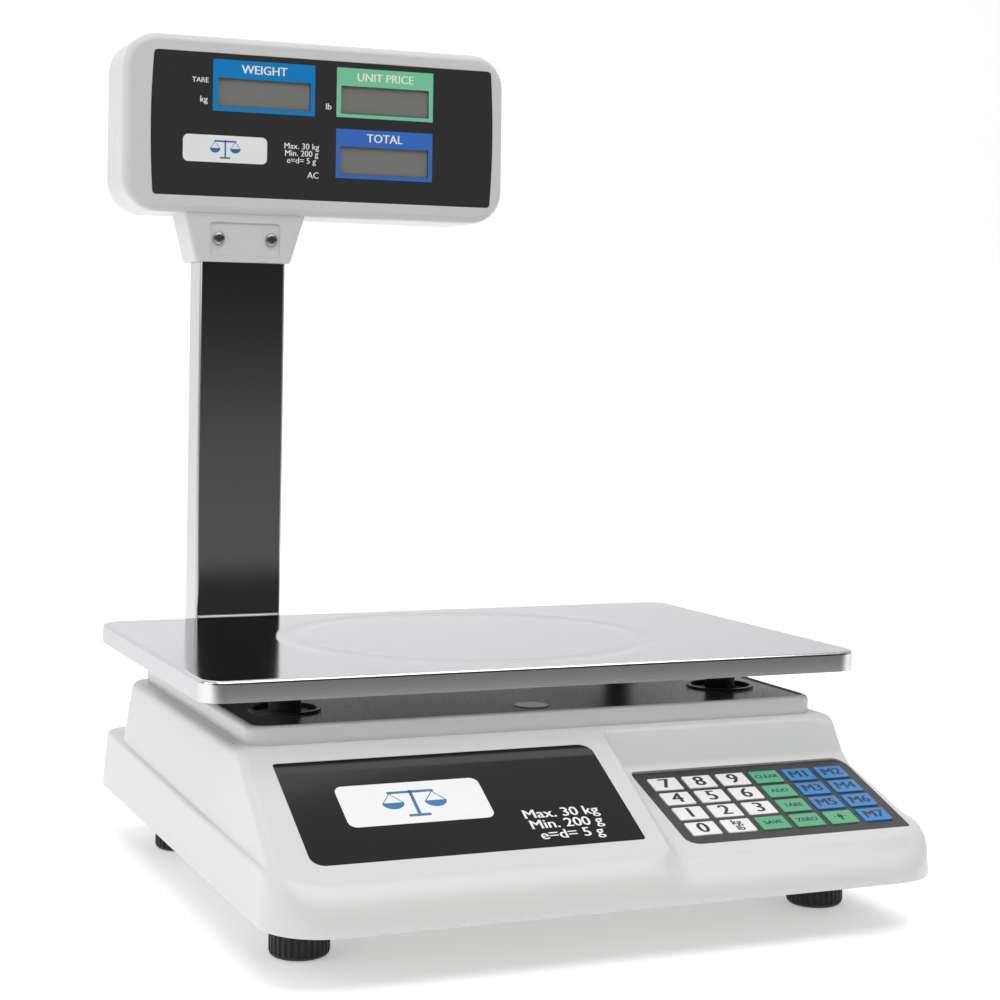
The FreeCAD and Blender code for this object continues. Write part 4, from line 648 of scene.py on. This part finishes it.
def disc_loops(x, y, radius, z0, z1, count=48):
    """Two equal circles, one at each height."""
    turn = np.linspace(0, 2 * math.pi, count, endpoint=False)
    ring = np.stack([x + radius * np.cos(turn), y + radius * np.sin(turn)], -1)
    return [level(ring, z0), level(ring, z1)]


def panel_loops(edges, length, inset, low, high, corners=PANEL_CORNERS):
    """Two equal panel outlines about the slope's middle line, one at each height."""
    flat = outline(edges[0], edges[1], -length / 2, length / 2, corners, inset)
    return [level(flat, low), level(flat, high)]


def window_middle():
    """Angle and middle of the window: half its length up the front slope."""
    half = WINDOW_LENGTH / 2
    return SLOPE, SLOPE_LOW[0] + half * math.cos(SLOPE), SLOPE_LOW[1] + half * math.sin(SLOPE)


def keypad_middle():
    """Angle and middle of the keypad: half its length up the bed."""
    half = KEYPAD_LENGTH / 2
    return BED, BED_LOW[0] + half * math.cos(BED), BED_LOW[1] + half * math.sin(BED)


def sideways(loops):
    """Solids drawn in the Y-Z plane with depth as the third value, stood up to face +X."""
    points, faces = stacked(loops)
    return points[:, [2, 0, 1]], faces


deck_round = [
    (DECK_ROUND * (1 - math.cos(t)), DECK_TOP - DECK_ROUND * (1 - math.sin(t)))
    for t in np.linspace(0, math.pi / 2, 7)
]
pad_loops = [level(outline(*PAD_Y, *PAD_Z, (2.0,) * 4, 0.0), PAD_X[0])] + [
    level(outline(*PAD_Y, *PAD_Z, (2.0,) * 4, inset), PAD_X[1] - depth) for inset, depth in PAD_EDGE
]
cut_with(cover, "UNION", [
    stacked(deck_loops([(0.0, LEDGE - 1.0), (0.0, LEDGE + 1.0)] + deck_round)), sideways(pad_loops),
], "deck_and_pad")
window_points, window_faces = stacked(
    panel_loops(WINDOW_EDGES, WINDOW_LENGTH, 0.0, -PANEL_DEEP, PANEL_CLEAR)
)
bed_points, bed_faces = stacked(
    panel_loops(KEYPAD_EDGES, KEYPAD_LENGTH, 0.0, -PANEL_DEEP, PANEL_CLEAR)
)
hollow = deck_loops([(COVER_WALL, LEDGE - 6.0), (COVER_WALL, DECK_FLOOR - COVER_WALL)])
cut_with(cover, "DIFFERENCE", [
    stacked(deck_loops([(DECK_RIM, DECK_FLOOR), (DECK_RIM, DECK_TOP + 3.0)])), stacked(hollow),
    (on_slope(window_points, *window_middle()), window_faces),
    (on_slope(bed_points, *keypad_middle()), bed_faces),
], "recesses")
opening, opening_faces = stacked(
    panel_loops(KEYPAD_EDGES, KEYPAD_LENGTH, BED_LIP, -9.0, 4.0, (1.6,) * 4)
)
y, z, half_y, half_z = SWITCH
switch_plan = outline(y - half_y, y + half_y, z - half_z, z + half_z, (0.5,) * 4, 0.0, 3)
openings = [stacked(disc_loops(x, y, HOLE_RADIUS, *HOLE_SPAN)) for x, y in POSTS]
openings += [
    stacked(disc_loops(*LEVEL_PLACE, LEVEL_RADIUS + LEVEL_GAP, *HOLE_SPAN)),
    (on_slope(opening, *keypad_middle()), opening_faces),
    sideways([level(switch_plan, x) for x in SIDE_SPAN]),
    sideways(disc_loops(*SOCKET, *SIDE_SPAN)),
]
cut_with(cover, "DIFFERENCE", openings, "openings")


def procedural(
    name, colour, roughness, metallic=0.0, grain=900.0, bump=0.02, spread=0.04, stretch=(1, 1, 1)
):
    """Material whose colour varies by its spread with broad noise, and whose roughness and relief
    vary with fine noise; stretch draws the fine noise out."""
    made = bpy.data.materials.new(name)
    made.use_nodes = True
    tree = made.node_tree
    shader = tree.nodes["Principled BSDF"]
    place = tree.nodes.new("ShaderNodeTexCoord")
    scaled = node(tree, "ShaderNodeMapping", Scale=stretch)
    fine = node(tree, "ShaderNodeTexNoise", Scale=grain, Detail=3.0)
    broad = node(tree, "ShaderNodeTexNoise", Scale=14.0, Detail=2.0)
    tone = node(tree, "ShaderNodeMapRange", **{"To Min": 1 - spread, "To Max": 1 + spread})
    tint = node(tree, "ShaderNodeVectorMath", i0=colour)
    tint.operation = "SCALE"
    rough = node(tree, "ShaderNodeMapRange", **{
        "To Min": roughness * 0.88, "To Max": roughness * 1.12
    })
    relief = node(tree, "ShaderNodeBump", Strength=bump, Distance=0.0002)
    tree.links.new(place.outputs["Object"], scaled.inputs["Vector"])
    tree.links.new(scaled.outputs[0], fine.inputs["Vector"])
    tree.links.new(place.outputs["Object"], broad.inputs["Vector"])
    tree.links.new(broad.outputs["Fac"], tone.inputs["Value"])
    tree.links.new(tone.outputs["Result"], tint.inputs["Scale"])
    tree.links.new(tint.outputs[0], shader.inputs["Base Color"])
    tree.links.new(fine.outputs["Fac"], rough.inputs["Value"])
    tree.links.new(rough.outputs["Result"], shader.inputs["Roughness"])
    tree.links.new(fine.outputs["Fac"], relief.inputs["Height"])
    tree.links.new(relief.outputs["Normal"], shader.inputs["Normal"])
    shader.inputs["Metallic"].default_value = metallic
    return made


def dress(material, *names):
    """Gives CAD nodes a material."""
    for name in names:
        for slot in bpy.data.objects[name].material_slots:
            slot.material = material


def settled(piece, node_name, material, body="casing", crisp=38.0):
    """Finishes a piece that stands for a CAD node: crisp edges, even shading, finish and body."""
    piece.data.materials.clear()
    piece.data.materials.append(material)
    piece.data.polygons.foreach_set("use_smooth", [True] * len(piece.data.polygons))
    piece.data.set_sharp_from_angle(angle=math.radians(crisp))
    even = piece.modifiers.new("even_shading", "WEIGHTED_NORMAL")
    even.keep_sharp = True
    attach(piece, body)
    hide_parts(node_name)


white_abs = procedural(
    "white_abs", (0.63, 0.63, 0.625), 0.34, grain=1600.0, bump=0.05, spread=0.012
)
settled(cover, "top_cover", white_abs, crisp=32.0)


# ---- Deck panel, window, keypad plate and level -----------------------------------------------
# The panel under the pan, dark grey as painted shade and painted reflection of the pan's underside,
# the glossy printed window, the matte plate round the keys, and the round spirit level let into the
# deck.

# The deck panel's dark grey is painted shade: it stands for the shade under the pan and the pan's
# dark underside reflected at a grazing angle.
deck_painted_shade = procedural("deck_painted_shade_grey", (0.07, 0.071, 0.073), 0.28, grain=1200.0, bump=0.04)
gloss_black = procedural("gloss_black_acrylic", (0.012, 0.012, 0.013), 0.07, grain=300.0, bump=0.003)
gloss_black.node_tree.nodes["Principled BSDF"].inputs["Specular IOR Level"].default_value = 0.18
matte_black = procedural("matte_black_film", (0.028, 0.027, 0.028), 0.42, grain=2200.0, bump=0.06)
dress(deck_painted_shade, "deck_panel")
dress(gloss_black, "front_window")
dress(matte_black, "keypad_overlay")
level_green = procedural("level_liquid_green", (0.05, 0.09, 0.03), 0.12, grain=200.0, bump=0.005)
level_green.node_tree.nodes["Principled BSDF"].inputs["Specular IOR Level"].default_value = 0.12
dress(level_green, "bubble_level")


# ---- Keys -------------------------------------------------------------------------------------
# Flat caps of film over a switch board, in four rows of six: white for the figures, green for the
# functions and blue for the stored prices. The legends are printed on the film.

key_white = procedural(
    "key_white_film", (0.80, 0.80, 0.79), 0.4, grain=2000.0, bump=0.03, spread=0.01
)
key_green = procedural(
    "key_green_film", (0.085, 0.38, 0.21), 0.42, grain=2000.0, bump=0.03, spread=0.02
)
key_blue = procedural(
    "key_blue_film", (0.024, 0.21, 0.52), 0.42, grain=2000.0, bump=0.03, spread=0.02
)
ink_black = procedural("black_ink", (0.012, 0.012, 0.016), 0.45, grain=2500.0, bump=0.02)
ink_navy = procedural("navy_ink", (0.01, 0.018, 0.06), 0.45, grain=2500.0, bump=0.02)
ink_white = procedural(
    "white_ink", (0.82, 0.82, 0.82), 0.45, grain=2500.0, bump=0.02, spread=0.01
)

KEY_PITCH = (18.2, 13.5)
KEY_SIZE = (15.0, 10.9)
KEY_MARGIN = (5.4, 6.7)
KEY_FIRST = (
    KEYPAD_EDGES[0] + KEY_MARGIN[0] + KEY_SIZE[0] / 2,
    KEYPAD_LENGTH / 2 - KEY_MARGIN[1] - KEY_SIZE[1] / 2,
)
KEY_TOP = 0.55
INK = 0.03
KEY_ROWS = [
    [("7", "7"), ("8", "8"), ("9", "9"), ("clear", "CLEAR"), ("m1", "M1"), ("m2", "M2")],
    [("4", "4"), ("5", "5"), ("6", "6"), ("add", "ADD"), ("m3", "M3"), ("m4", "M4")],
    [("1", "1"), ("2", "2"), ("3", "3"), ("tare", "TARE"), ("m5", "M5"), ("m6", "M6")],
    [("0", "0"), ("unit", "kg\nlb"), ("save", "SAVE"), ("zero", "ZERO"), ("light", ""), ("m7", "M7")],
]
GREEN_KEYS = ("clear", "add", "tare", "save", "zero", "light")
FIGURE_SIZE = (11.6, 0.32)    # letter size and boldness
STORE_SIZE = (8.6, 0.34)
WORD_SIZE = (4.3, 0.14)
UNIT_SIZE = (5.8, 0.2)
LAMP_STROKES = (
    (-0.75, 0.75, -2.2, -1.2), (-0.5, 0.5, -2.9, -2.45), (-3.4, -2.1, 0.4, 0.8),
    (2.1, 3.4, 0.4, 0.8), (-0.2, 0.2, 2.5, 3.6),
)


def lettering(words, size, bold=0.0):
    """Points and faces of printed words lying flat about the origin, in millimetres. Bold words are
    laid down three times, a little to each side and a hair lower each time."""
    curve = bpy.data.curves.new("words", "FONT")
    curve.body = words
    curve.size = size
    curve.extrude = INK / 2
    curve.align_x = "CENTER"
    curve.align_y = "CENTER"
    curve.space_line = 0.86
    curve.resolution_u = 3
    holder = bpy.data.objects.new("words", curve)
    flat = bpy.data.meshes.new_from_object(holder)
    points = np.array([corner.co for corner in flat.vertices])
    faces = [list(face.vertices) for face in flat.polygons]
    bpy.data.objects.remove(holder)
    bpy.data.meshes.remove(flat)
    if not bold:
        return points, faces
    shifts = [(0.0, 0.0, 0.0), (-bold, 0.0, -0.002), (bold, 0.0, -0.004)]
    return gathered([(points + np.array(shift), faces) for shift in shifts])


def printed(name, points, faces, ink, body="casing"):
    """A printed piece that rides a body."""
    made = mesh_object(name, points, faces, body, smooth=False)
    made.data.materials.append(ink)
    return made


def lamp_sign():
    """A small lamp: a round bulb, its cap below and three rays, as closed thin solids."""
    solids = [stacked(disc_loops(0.0, 0.6, 1.5, -INK / 2, INK / 2, 24))]
    for x0, x1, y0, y1 in LAMP_STROKES:
        plan = outline(x0, x1, y0, y1, (0.1,) * 4, 0.0, 3)
        solids.append(stacked([level(plan, -INK / 2), level(plan, INK / 2)]))
    return gathered(solids)


for row, row_keys in enumerate(KEY_ROWS):
    for column, (key_name, legend) in enumerate(row_keys):
        green = key_name in GREEN_KEYS
        blue = key_name.startswith("m")
        dress(key_green if green else key_blue if blue else key_white, "key_" + key_name)
        size, bold = FIGURE_SIZE if len(legend) == 1 else STORE_SIZE if blue else WORD_SIZE
        if key_name == "unit":
            size, bold = UNIT_SIZE
        points, faces = lettering(legend, size, bold) if legend else lamp_sign()
        points = points + [
            KEY_FIRST[0] + column * KEY_PITCH[0], KEY_FIRST[1] - row * KEY_PITCH[1],
            KEY_TOP + INK / 2,
        ]
        printed(
            "legend_" + key_name, on_slope(points, *keypad_middle()), faces,
            ink_navy if blue else ink_black, "key_" + key_name,
        )


# ---- Window print -----------------------------------------------------------------------------
# Print on the window's face: a plain white badge with a pair of balance pans, and the weighing
# range in three short lines.

PANEL_FACE = -0.1
BADGE_BOX = (-118.0, -50.0, -12.0, 16.0, 4.0)
BADGE_SIGN_AT = (-84.0, 2.5)
RANGE_AT = (-19.0, -19.5)
RANGE_WORDS = "Max. 30 kg\nMin. 200 g\ne=d= 5 g"
BALANCE_STROKES = (
    (-0.04, 0.04, -0.42, 0.40), (-0.55, 0.55, 0.30, 0.38), (-0.26, 0.26, -0.50, -0.42),
)


def badge(x0, x1, y0, y1, radius):
    """Rounded plate, lying flat."""
    plan = outline(x0, x1, y0, y1, (radius,) * 4, 0.0, 6)
    return stacked([level(plan, -INK / 2), level(plan, INK / 2)])


def balance_sign(size):
    """A balance drawn with strokes: post, beam, foot and two bowls, as closed thin solids."""
    solids = []
    for x0, x1, y0, y1 in BALANCE_STROKES:
        plan = outline(x0 * size, x1 * size, y0 * size, y1 * size, (0.02 * size,) * 4, 0.0, 3)
        solids.append(stacked([level(plan, -INK / 2), level(plan, INK / 2)]))
    turn = np.linspace(math.pi, 2 * math.pi, 17)
    for side in (-1, 1):
        bowl = np.stack([side * 0.5 + 0.26 * np.cos(turn), 0.0 + 0.22 * np.sin(turn)], -1) * size
        solids.append(stacked([level(bowl, -INK / 2), level(bowl, INK / 2)]))
        for lean in (-1, 1):
            top = np.array([side * 0.5, 0.31])
            low = np.array([side * 0.5 + lean * 0.23, 0.0])
            wide = np.array([0.014, 0.0])
            cord = np.array([low - wide, low + wide, top + wide, top - wide]) * size
            solids.append(stacked([level(cord, -INK / 2), level(cord, INK / 2)]))
    return gathered(solids)


points, faces = badge(*BADGE_BOX)
points = points + [0, 0, PANEL_FACE + INK]
printed("window_badge", on_slope(points, *window_middle()), faces, ink_white)
points, faces = balance_sign(20.0)
points = points + [*BADGE_SIGN_AT, PANEL_FACE + 2 * INK]
badge_blue = procedural("badge_blue_ink", (0.02, 0.16, 0.36), 0.4, grain=2500.0, bump=0.02)
printed("window_badge_sign", on_slope(points, *window_middle()), faces, badge_blue)
points, faces = lettering(RANGE_WORDS, 8.4, 0.16)
points = points + [*RANGE_AT, PANEL_FACE + INK]
printed("window_range", on_slope(points, *window_middle()), faces, ink_white)


# ---- Weighing pan -----------------------------------------------------------------------------
# One polished stainless sheet, pressed: a flat top with a faint round pressing, a bend, and a lip
# turned down. It lies loose on four rubber-topped posts.

PAN_HALF = 170.0
PAN_FRONT = -88.0
PAN_BACK = 137.0
PAN_TOP = 118.0
PAN_LIP = 10.0
PAN_SHEET = 1.0
PAN_CORNER = 12.0
PAN_BEND = 1.8
PAN_FLAT = 8.0
PRESSING = (   # radius and depth
    (101.0, 0.0), (99.0, 0.06), (96.5, 0.32), (94.0, 0.5), (91.0, 0.5), (88.5, 0.32), (86.0, 0.06),
    (84.0, 0.0), (50.0, 0.0), (4.0, 0.0),
)


def pan_loops(under):
    """Loops of the sheet's upper side from lip to middle, or of its lower side, one sheet below:
    the inset and height follow a quarter circle at the bend, and circles take over in the
    middle."""
    sheet = PAN_SHEET if under else 0.0
    bend_radius = PAN_BEND - sheet
    profile = [(sheet, PAN_TOP - PAN_LIP), (sheet, PAN_TOP - PAN_LIP + 0.6)]
    for t in np.linspace(0, math.pi / 2, 7):
        inset = sheet + bend_radius * (1 - math.cos(t))
        profile.append((inset, PAN_TOP - PAN_BEND + bend_radius * math.sin(t)))
    profile.append((PAN_FLAT, PAN_TOP - sheet))
    sides = (-PAN_HALF, PAN_HALF, PAN_FRONT, PAN_BACK)
    loops = [level(outline(*sides, (PAN_CORNER,) * 4, inset, 10, 14), z) for inset, z in profile]
    plan = loops[-1][:, :2]
    centre = np.array([0.0, (PAN_FRONT + PAN_BACK) / 2])
    spoke = plan - centre
    unit = spoke / np.linalg.norm(spoke, axis=-1, keepdims=True)
    for radius, drop in PRESSING:
        loops.append(level(centre + unit * radius, PAN_TOP - sheet - drop))
    return loops


pan = mesh_object("weighing_pan_sheet", *stacked(pan_loops(True)[::-1] + pan_loops(False)))
polished = procedural(
    "polished_stainless", (0.66, 0.66, 0.67), 0.13, 1.0, grain=160.0, bump=0.02, spread=0.015,
    stretch=(1, 14, 14),
)
shader = polished.node_tree.nodes["Principled BSDF"]
shader.inputs["Specular Tint"].default_value = (0.74, 0.74, 0.75, 1.0)
settled(pan, "weighing_pan", polished, "pan", 50.0)
rubber = procedural("black_rubber", (0.022, 0.022, 0.023), 0.6, grain=1400.0, bump=0.12)
CORNERS = ("front_left", "front_right", "rear_left", "rear_right")
dress(rubber, "pan_posts")
for corner in CORNERS:
    dress(rubber, "foot_knob_" + corner)


# ---- Pole -------------------------------------------------------------------------------------
# Rectangular stainless tube, brushed along its length. Its foot goes through the cover into a
# bracket on the tray.

brushed = procedural(
    "brushed_stainless", (0.50, 0.50, 0.505), 0.15, 1.0, grain=700.0, bump=0.03, spread=0.02,
    stretch=(6, 6, 0.15),
)
dress(brushed, "pole")


# ---- Display head -----------------------------------------------------------------------------
# Two white half shells with rounded rims round a printed panel, front and rear. The front one has
# the tapered neck that slips over the pole and is fixed by two screws.

HEAD_X = (-161.0, 63.0)
HEAD_Z = (341.5, 440.0)
HEAD_FACES = (135.0, 180.0)
HEAD_SPLIT = 158.0
HEAD_CORNER = 19.0
HEAD_ROUND = 4.5
HEAD_WALL = 2.5
FACE_X = (-144.5, 54.5)
FACE_Z = (351.0, 430.5)
FACE_BOW = 1.5
NECK_TOP = (-126.5, -55.8, 344.0)
NECK_LOW = (-119.2, -64.6, 315.0)
NECK_Y = (137.2, 167.8)
POLE_X = -91.2
POLE_HALF = 24.5
POLE_Y = (140.0, 165.0)
HEAD_JOINT_GAP = 0.12
FACE_CHAMFER = 0.25
NECK_PLATE = (-111.2, -71.2, 318.0, 337.0)
PLATE_STEPS = ((-0.4, 136.8), (0.0, 137.4), (0.0, 138.0))   # inset, depth
NECK_BORE = 1.66
NECK_SCREWS = [(POLE_X - 15.1, 328.0), (POLE_X + 15.1, 328.0)]


def upright(plan, y):
    """Plan points stood up in the X-Z plane at one depth."""
    return np.stack([plan[:, 0], np.full(len(plan), float(y)), plan[:, 1]], -1)


def face_outline(grow):
    """Outline of the display opening: straight top and bottom, ends bowed out as a parabola."""
    plan = outline(*FACE_X, *FACE_Z, (2.0 + grow,) * 4, -grow, 8, 7)
    middle = (FACE_Z[0] + FACE_Z[1]) / 2
    half = (FACE_Z[1] - FACE_Z[0]) / 2
    off_centre = plan[:, 0] - sum(FACE_X) / 2
    near_end = np.clip((np.abs(off_centre) - 90.0) / 7.5, 0, 1)
    bow = FACE_BOW * np.clip(1 - ((plan[:, 1] - middle) / half) ** 2, 0, 1) * near_end
    return np.stack([plan[:, 0] + np.sign(off_centre) * bow, plan[:, 1]], -1)


def half_shell(face, split):
    """Loops round one half shell, a closed tube of wall: outside from the joint to the rim's
    quarter circle and the opening, then back along the inside."""
    inward = 1.0 if split > face else -1.0
    rim = [(0.0, split), (0.0, face + inward * HEAD_ROUND)]
    for t in np.linspace(0, math.pi / 2, 8)[1:]:
        rim.append((HEAD_ROUND * (1 - math.cos(t)), face + inward * HEAD_ROUND * (1 - math.sin(t))))
    inside = [
        (HEAD_WALL + 2.0, face + inward * HEAD_WALL),
        (HEAD_WALL, face + inward * (HEAD_WALL + 2.0)), (HEAD_WALL, split),
    ]
    corners = (HEAD_CORNER,) * 4
    outer, inner = [
        [upright(outline(*HEAD_X, *HEAD_Z, corners, inset, 8, 7), y) for inset, y in side]
        for side in (rim, inside)
    ]
    opening = [
        upright(face_outline(FACE_CHAMFER), face),
        upright(face_outline(0.0), face + inward * FACE_CHAMFER),
        upright(face_outline(0.0), face + inward * HEAD_WALL),
    ]
    loops = outer + opening + inner
    return np.concatenate(loops), grid_faces(len(loops), len(loops[0]), True, True).tolist()


def taper(z, grow):
    """Neck outline at height z: left and right edges run straight from foot to top."""
    rise = (z - NECK_LOW[2]) / (NECK_TOP[2] - NECK_LOW[2])
    left = NECK_LOW[0] + (NECK_TOP[0] - NECK_LOW[0]) * rise
    right = NECK_LOW[1] + (NECK_TOP[1] - NECK_LOW[1]) * rise
    sides = (left - grow, right + grow, NECK_Y[0] - grow, NECK_Y[1] + grow)
    return level(outline(*sides, (2.0,) * 4, 0.0, 6, 2), z)


def pole_bore(z, grow):
    """Outline of the pole, grown by its clearance, at height z."""
    sides = (
        POLE_X - POLE_HALF - grow, POLE_X + POLE_HALF + grow, POLE_Y[0] - grow, POLE_Y[1] + grow
    )
    return level(outline(*sides, (2.5,) * 4, 0.0, 6, 2), z)


neck_loops = [
    taper(NECK_TOP[2], 0.0), taper(330.0, 0.0), taper(315.8, 0.0), taper(315.2, -0.2),
    taper(NECK_LOW[2], -0.7), pole_bore(NECK_LOW[2], 0.5), pole_bore(315.35, 0.15),
    pole_bore(NECK_TOP[2], 0.15),
]
neck = (
    np.concatenate(neck_loops),
    grid_faces(len(neck_loops), len(neck_loops[0]), True, True).tolist(),
)
front_shell = mesh_object(
    "head_front_moulding", *half_shell(HEAD_FACES[0], HEAD_SPLIT - HEAD_JOINT_GAP)
)
cut_with(front_shell, "UNION", [neck], "neck")
plate = stacked([
    upright(outline(*NECK_PLATE, (2.0,) * 4, inset, 6), y) for inset, y in PLATE_STEPS
])
circle = np.linspace(0, 2 * math.pi, 24, endpoint=False)
bores = []
for x, z in NECK_SCREWS:
    plan = np.stack([x + NECK_BORE * np.cos(circle), z + NECK_BORE * np.sin(circle)], -1)
    bores.append(stacked([upright(plan, y) for y in (130.0, 139.95)]))
cut_with(front_shell, "DIFFERENCE", [plate], "screw_plate")
cut_with(front_shell, "DIFFERENCE", bores, "screw_holes")
settled(front_shell, "head_front_shell", white_abs, crisp=34.0)

rear_shell = mesh_object(
    "head_rear_moulding", *half_shell(HEAD_FACES[1], HEAD_SPLIT + HEAD_JOINT_GAP)
)
gap_plan = outline(
    NECK_TOP[0] - 0.2, NECK_TOP[1] + 0.2, 150.0, NECK_Y[1] + 0.2, (2.0,) * 4, 0.0, 6
)
gap = stacked([level(gap_plan, z) for z in (336.0, 344.3)])
cut_with(rear_shell, "DIFFERENCE", [gap], "neck_gap")
settled(rear_shell, "head_rear_shell", white_abs, crisp=34.0)

face_black = procedural("display_face_black", (0.03, 0.03, 0.031), 0.3, grain=900.0, bump=0.01)
dress(face_black, "front_display_panel", "rear_display_panel")
glass_grey = procedural(
    "display_glass", (0.20, 0.205, 0.195), 0.16, grain=500.0, bump=0.004, spread=0.03
)
dress(glass_grey, "lcd_glasses")


# ---- Head prints ------------------------------------------------------------------------------
# Coloured frames round the three glasses with their names, small unit marks beside them, the
# weighing range and a plain badge.

FRAME_FACE = HEAD_FACES[0] + 0.1
FRAME_DEEP = 0.03
FRAMES = {   # outer box, glass, title and its size
    "weight": ((-111.5, -52.5, 398.5, 427.2), (-108.5, -55.0, 401.0, 417.0), "WEIGHT", 6.8),
    "price": ((-39.7, 18.6, 399.0, 427.2), (-37.0, 16.0, 401.0, 417.0), "UNIT PRICE", 6.6),
    "total": ((-39.7, 18.6, 364.4, 392.4), (-37.0, 16.0, 366.6, 382.6), "TOTAL", 6.8),
}
frame_inks = {
    "weight": procedural("frame_blue_ink", (0.004, 0.21, 0.54), 0.35, grain=2500.0, bump=0.02),
    "price": procedural("frame_green_ink", (0.19, 0.58, 0.35), 0.35, grain=2500.0, bump=0.02),
    "total": procedural("frame_violet_ink", (0.04, 0.15, 0.52), 0.35, grain=2500.0, bump=0.02),
}


def facing(points, x, z, y=FRAME_FACE):
    """Words drawn flat, stood up to face forwards at (x, z) just before the panel."""
    points = np.asarray(points)
    return np.stack([x + points[:, 0], y - INK - points[:, 2], z + points[:, 1]], -1)


for frame_name, (edge_box, glass_box, title, size) in FRAMES.items():
    rings = [(edge_box, 0.0), (edge_box, 1.0), (glass_box, 1.0), (glass_box, 0.0)]
    loops = [
        upright(outline(*limits, (0.4,) * 4, 0.0, 4), FRAME_FACE - 0.005 - FRAME_DEEP * front)
        for limits, front in rings
    ]
    printed(
        "frame_" + frame_name, np.concatenate(loops),
        grid_faces(4, len(loops[0]), True, True).tolist(), frame_inks[frame_name],
    )
    points, faces = lettering(title, size, 0.14)
    middle = (edge_box[0] + edge_box[1]) / 2
    points = facing(points, middle, (glass_box[3] + edge_box[3]) / 2, FRAME_FACE - INK)
    printed("title_" + frame_name, points, faces, ink_white)

MARKS = {   # words, size and place
    "tare_mark": ("TARE", 4.0, -118.6, 415.0),
    "kilogram_mark": ("kg", 5.0, -116.6, 404.4),
    "pound_mark": ("lb", 5.0, -44.4, 404.4),
    "mains_mark": ("AC", 5.0, -53.0, 365.0),
    "head_range": (RANGE_WORDS, 4.7, -60.0, 377.0),
}
for mark_name, (words, size, x, z) in MARKS.items():
    points, faces = lettering(words, size, 0.06)
    printed(mark_name, facing(points, x, z), faces, ink_white)
points, faces = badge(-24.0, 24.0, -7.5, 7.5, 3.0)
printed("head_badge", facing(points, -104.0, 377.4), faces, ink_white)
points, faces = balance_sign(11.5)
printed("head_badge_sign", facing(points, -104.0, 377.8, FRAME_FACE - INK), faces, badge_blue)


# ---- Screws -----------------------------------------------------------------------------------
# Steel pan-head screws with a cross recess: four hold the head's rear shell to the front one,
# two in the neck clamp it to the pole.

NECK_SEAT = 138.0
REAR_SEAT = 176.0
REAR_SPREAD = (96.0, 38.0)
CROSS_HALF = (2.0, 0.42)
CROSS_SPAN = (0.7, 3.0)
SCREW_PROFILE = (   # radius, distance out from the seat
    (0.6, -7.0), (1.6, -6.4), (1.6, 0.0), (3.45, 0.0), (3.45, 0.9), (3.1, 1.35), (2.3, 1.65),
    (1.0, 1.8),
)


def screw(x, z, seat, way):
    """Screw turned about Y: each profile point sweeps a circle. The straight side and shallow dome
    stand out from the seat, and the shank runs in behind it."""
    turn = np.linspace(0, 2 * math.pi, 32, endpoint=False)
    loops = []
    for radius, out in SCREW_PROFILE:
        plan = np.stack([x + radius * np.cos(turn), z + radius * np.sin(turn)], -1)
        loops.append(upright(plan, seat + way * out))
    return stacked(loops)


SEATS = [(x, z, NECK_SEAT, -1.0) for x, z in NECK_SCREWS]
SEATS += [
    (sum(HEAD_X) / 2 + sx * REAR_SPREAD[0], sum(HEAD_Z) / 2 + sz * REAR_SPREAD[1], REAR_SEAT, 1.0)
    for sx in (-1, 1) for sz in (-1, 1)
]
screws = mesh_object("head_screw_set", *gathered([screw(*seat) for seat in SEATS]))
slots = []
for x, z, seat, way in SEATS:
    for half_x, half_z in (CROSS_HALF, CROSS_HALF[::-1]):
        plan = outline(x - half_x, x + half_x, z - half_z, z + half_z, (0.1,) * 4, 0.0, 3)
        slots.append(stacked([upright(plan, seat + way * out) for out in CROSS_SPAN]))
for name, picked in (("cross_one", slots[0::2]), ("cross_two", slots[1::2])):
    cut_with(screws, "DIFFERENCE", picked, name)
screw_steel = procedural("screw_steel", (0.30, 0.30, 0.31), 0.32, 1.0, grain=900.0, bump=0.05)
settled(screws, "head_screws", screw_steel)
dress(screw_steel, "case_screws", "load_cell_bolts", "pole_bracket")
for corner in CORNERS:
    dress(screw_steel, "foot_stud_" + corner)


# ---- Switch, socket and inside parts ----------------------------------------------------------
# The black rocker and the supply socket on the right wall, and everything the covers hide: tray,
# load cell, carrier, boards and battery.

switch_black = procedural(
    "switch_black_plastic", (0.02, 0.02, 0.021), 0.38, grain=1500.0, bump=0.05
)
dress(switch_black, "switch_frame", "power_rocker", "supply_socket")
tray_grey = procedural("tray_plastic", (0.45, 0.45, 0.44), 0.5, grain=1300.0, bump=0.1)
dress(tray_grey, "base_tray")
cast_aluminium = procedural("cell_aluminium", (0.62, 0.62, 0.63), 0.36, 1.0, grain=800.0, bump=0.06)
dress(cast_aluminium, "load_cell", "load_cell_spacers", "pan_carrier")
board_green = procedural(
    "board_green", (0.02, 0.14, 0.05), 0.35, grain=600.0, bump=0.04, spread=0.08
)
dress(board_green, "main_board", "display_board", "keypad_board")
battery_case = procedural("battery_case", (0.06, 0.065, 0.075), 0.45, grain=1200.0, bump=0.06)
dress(battery_case, "battery")
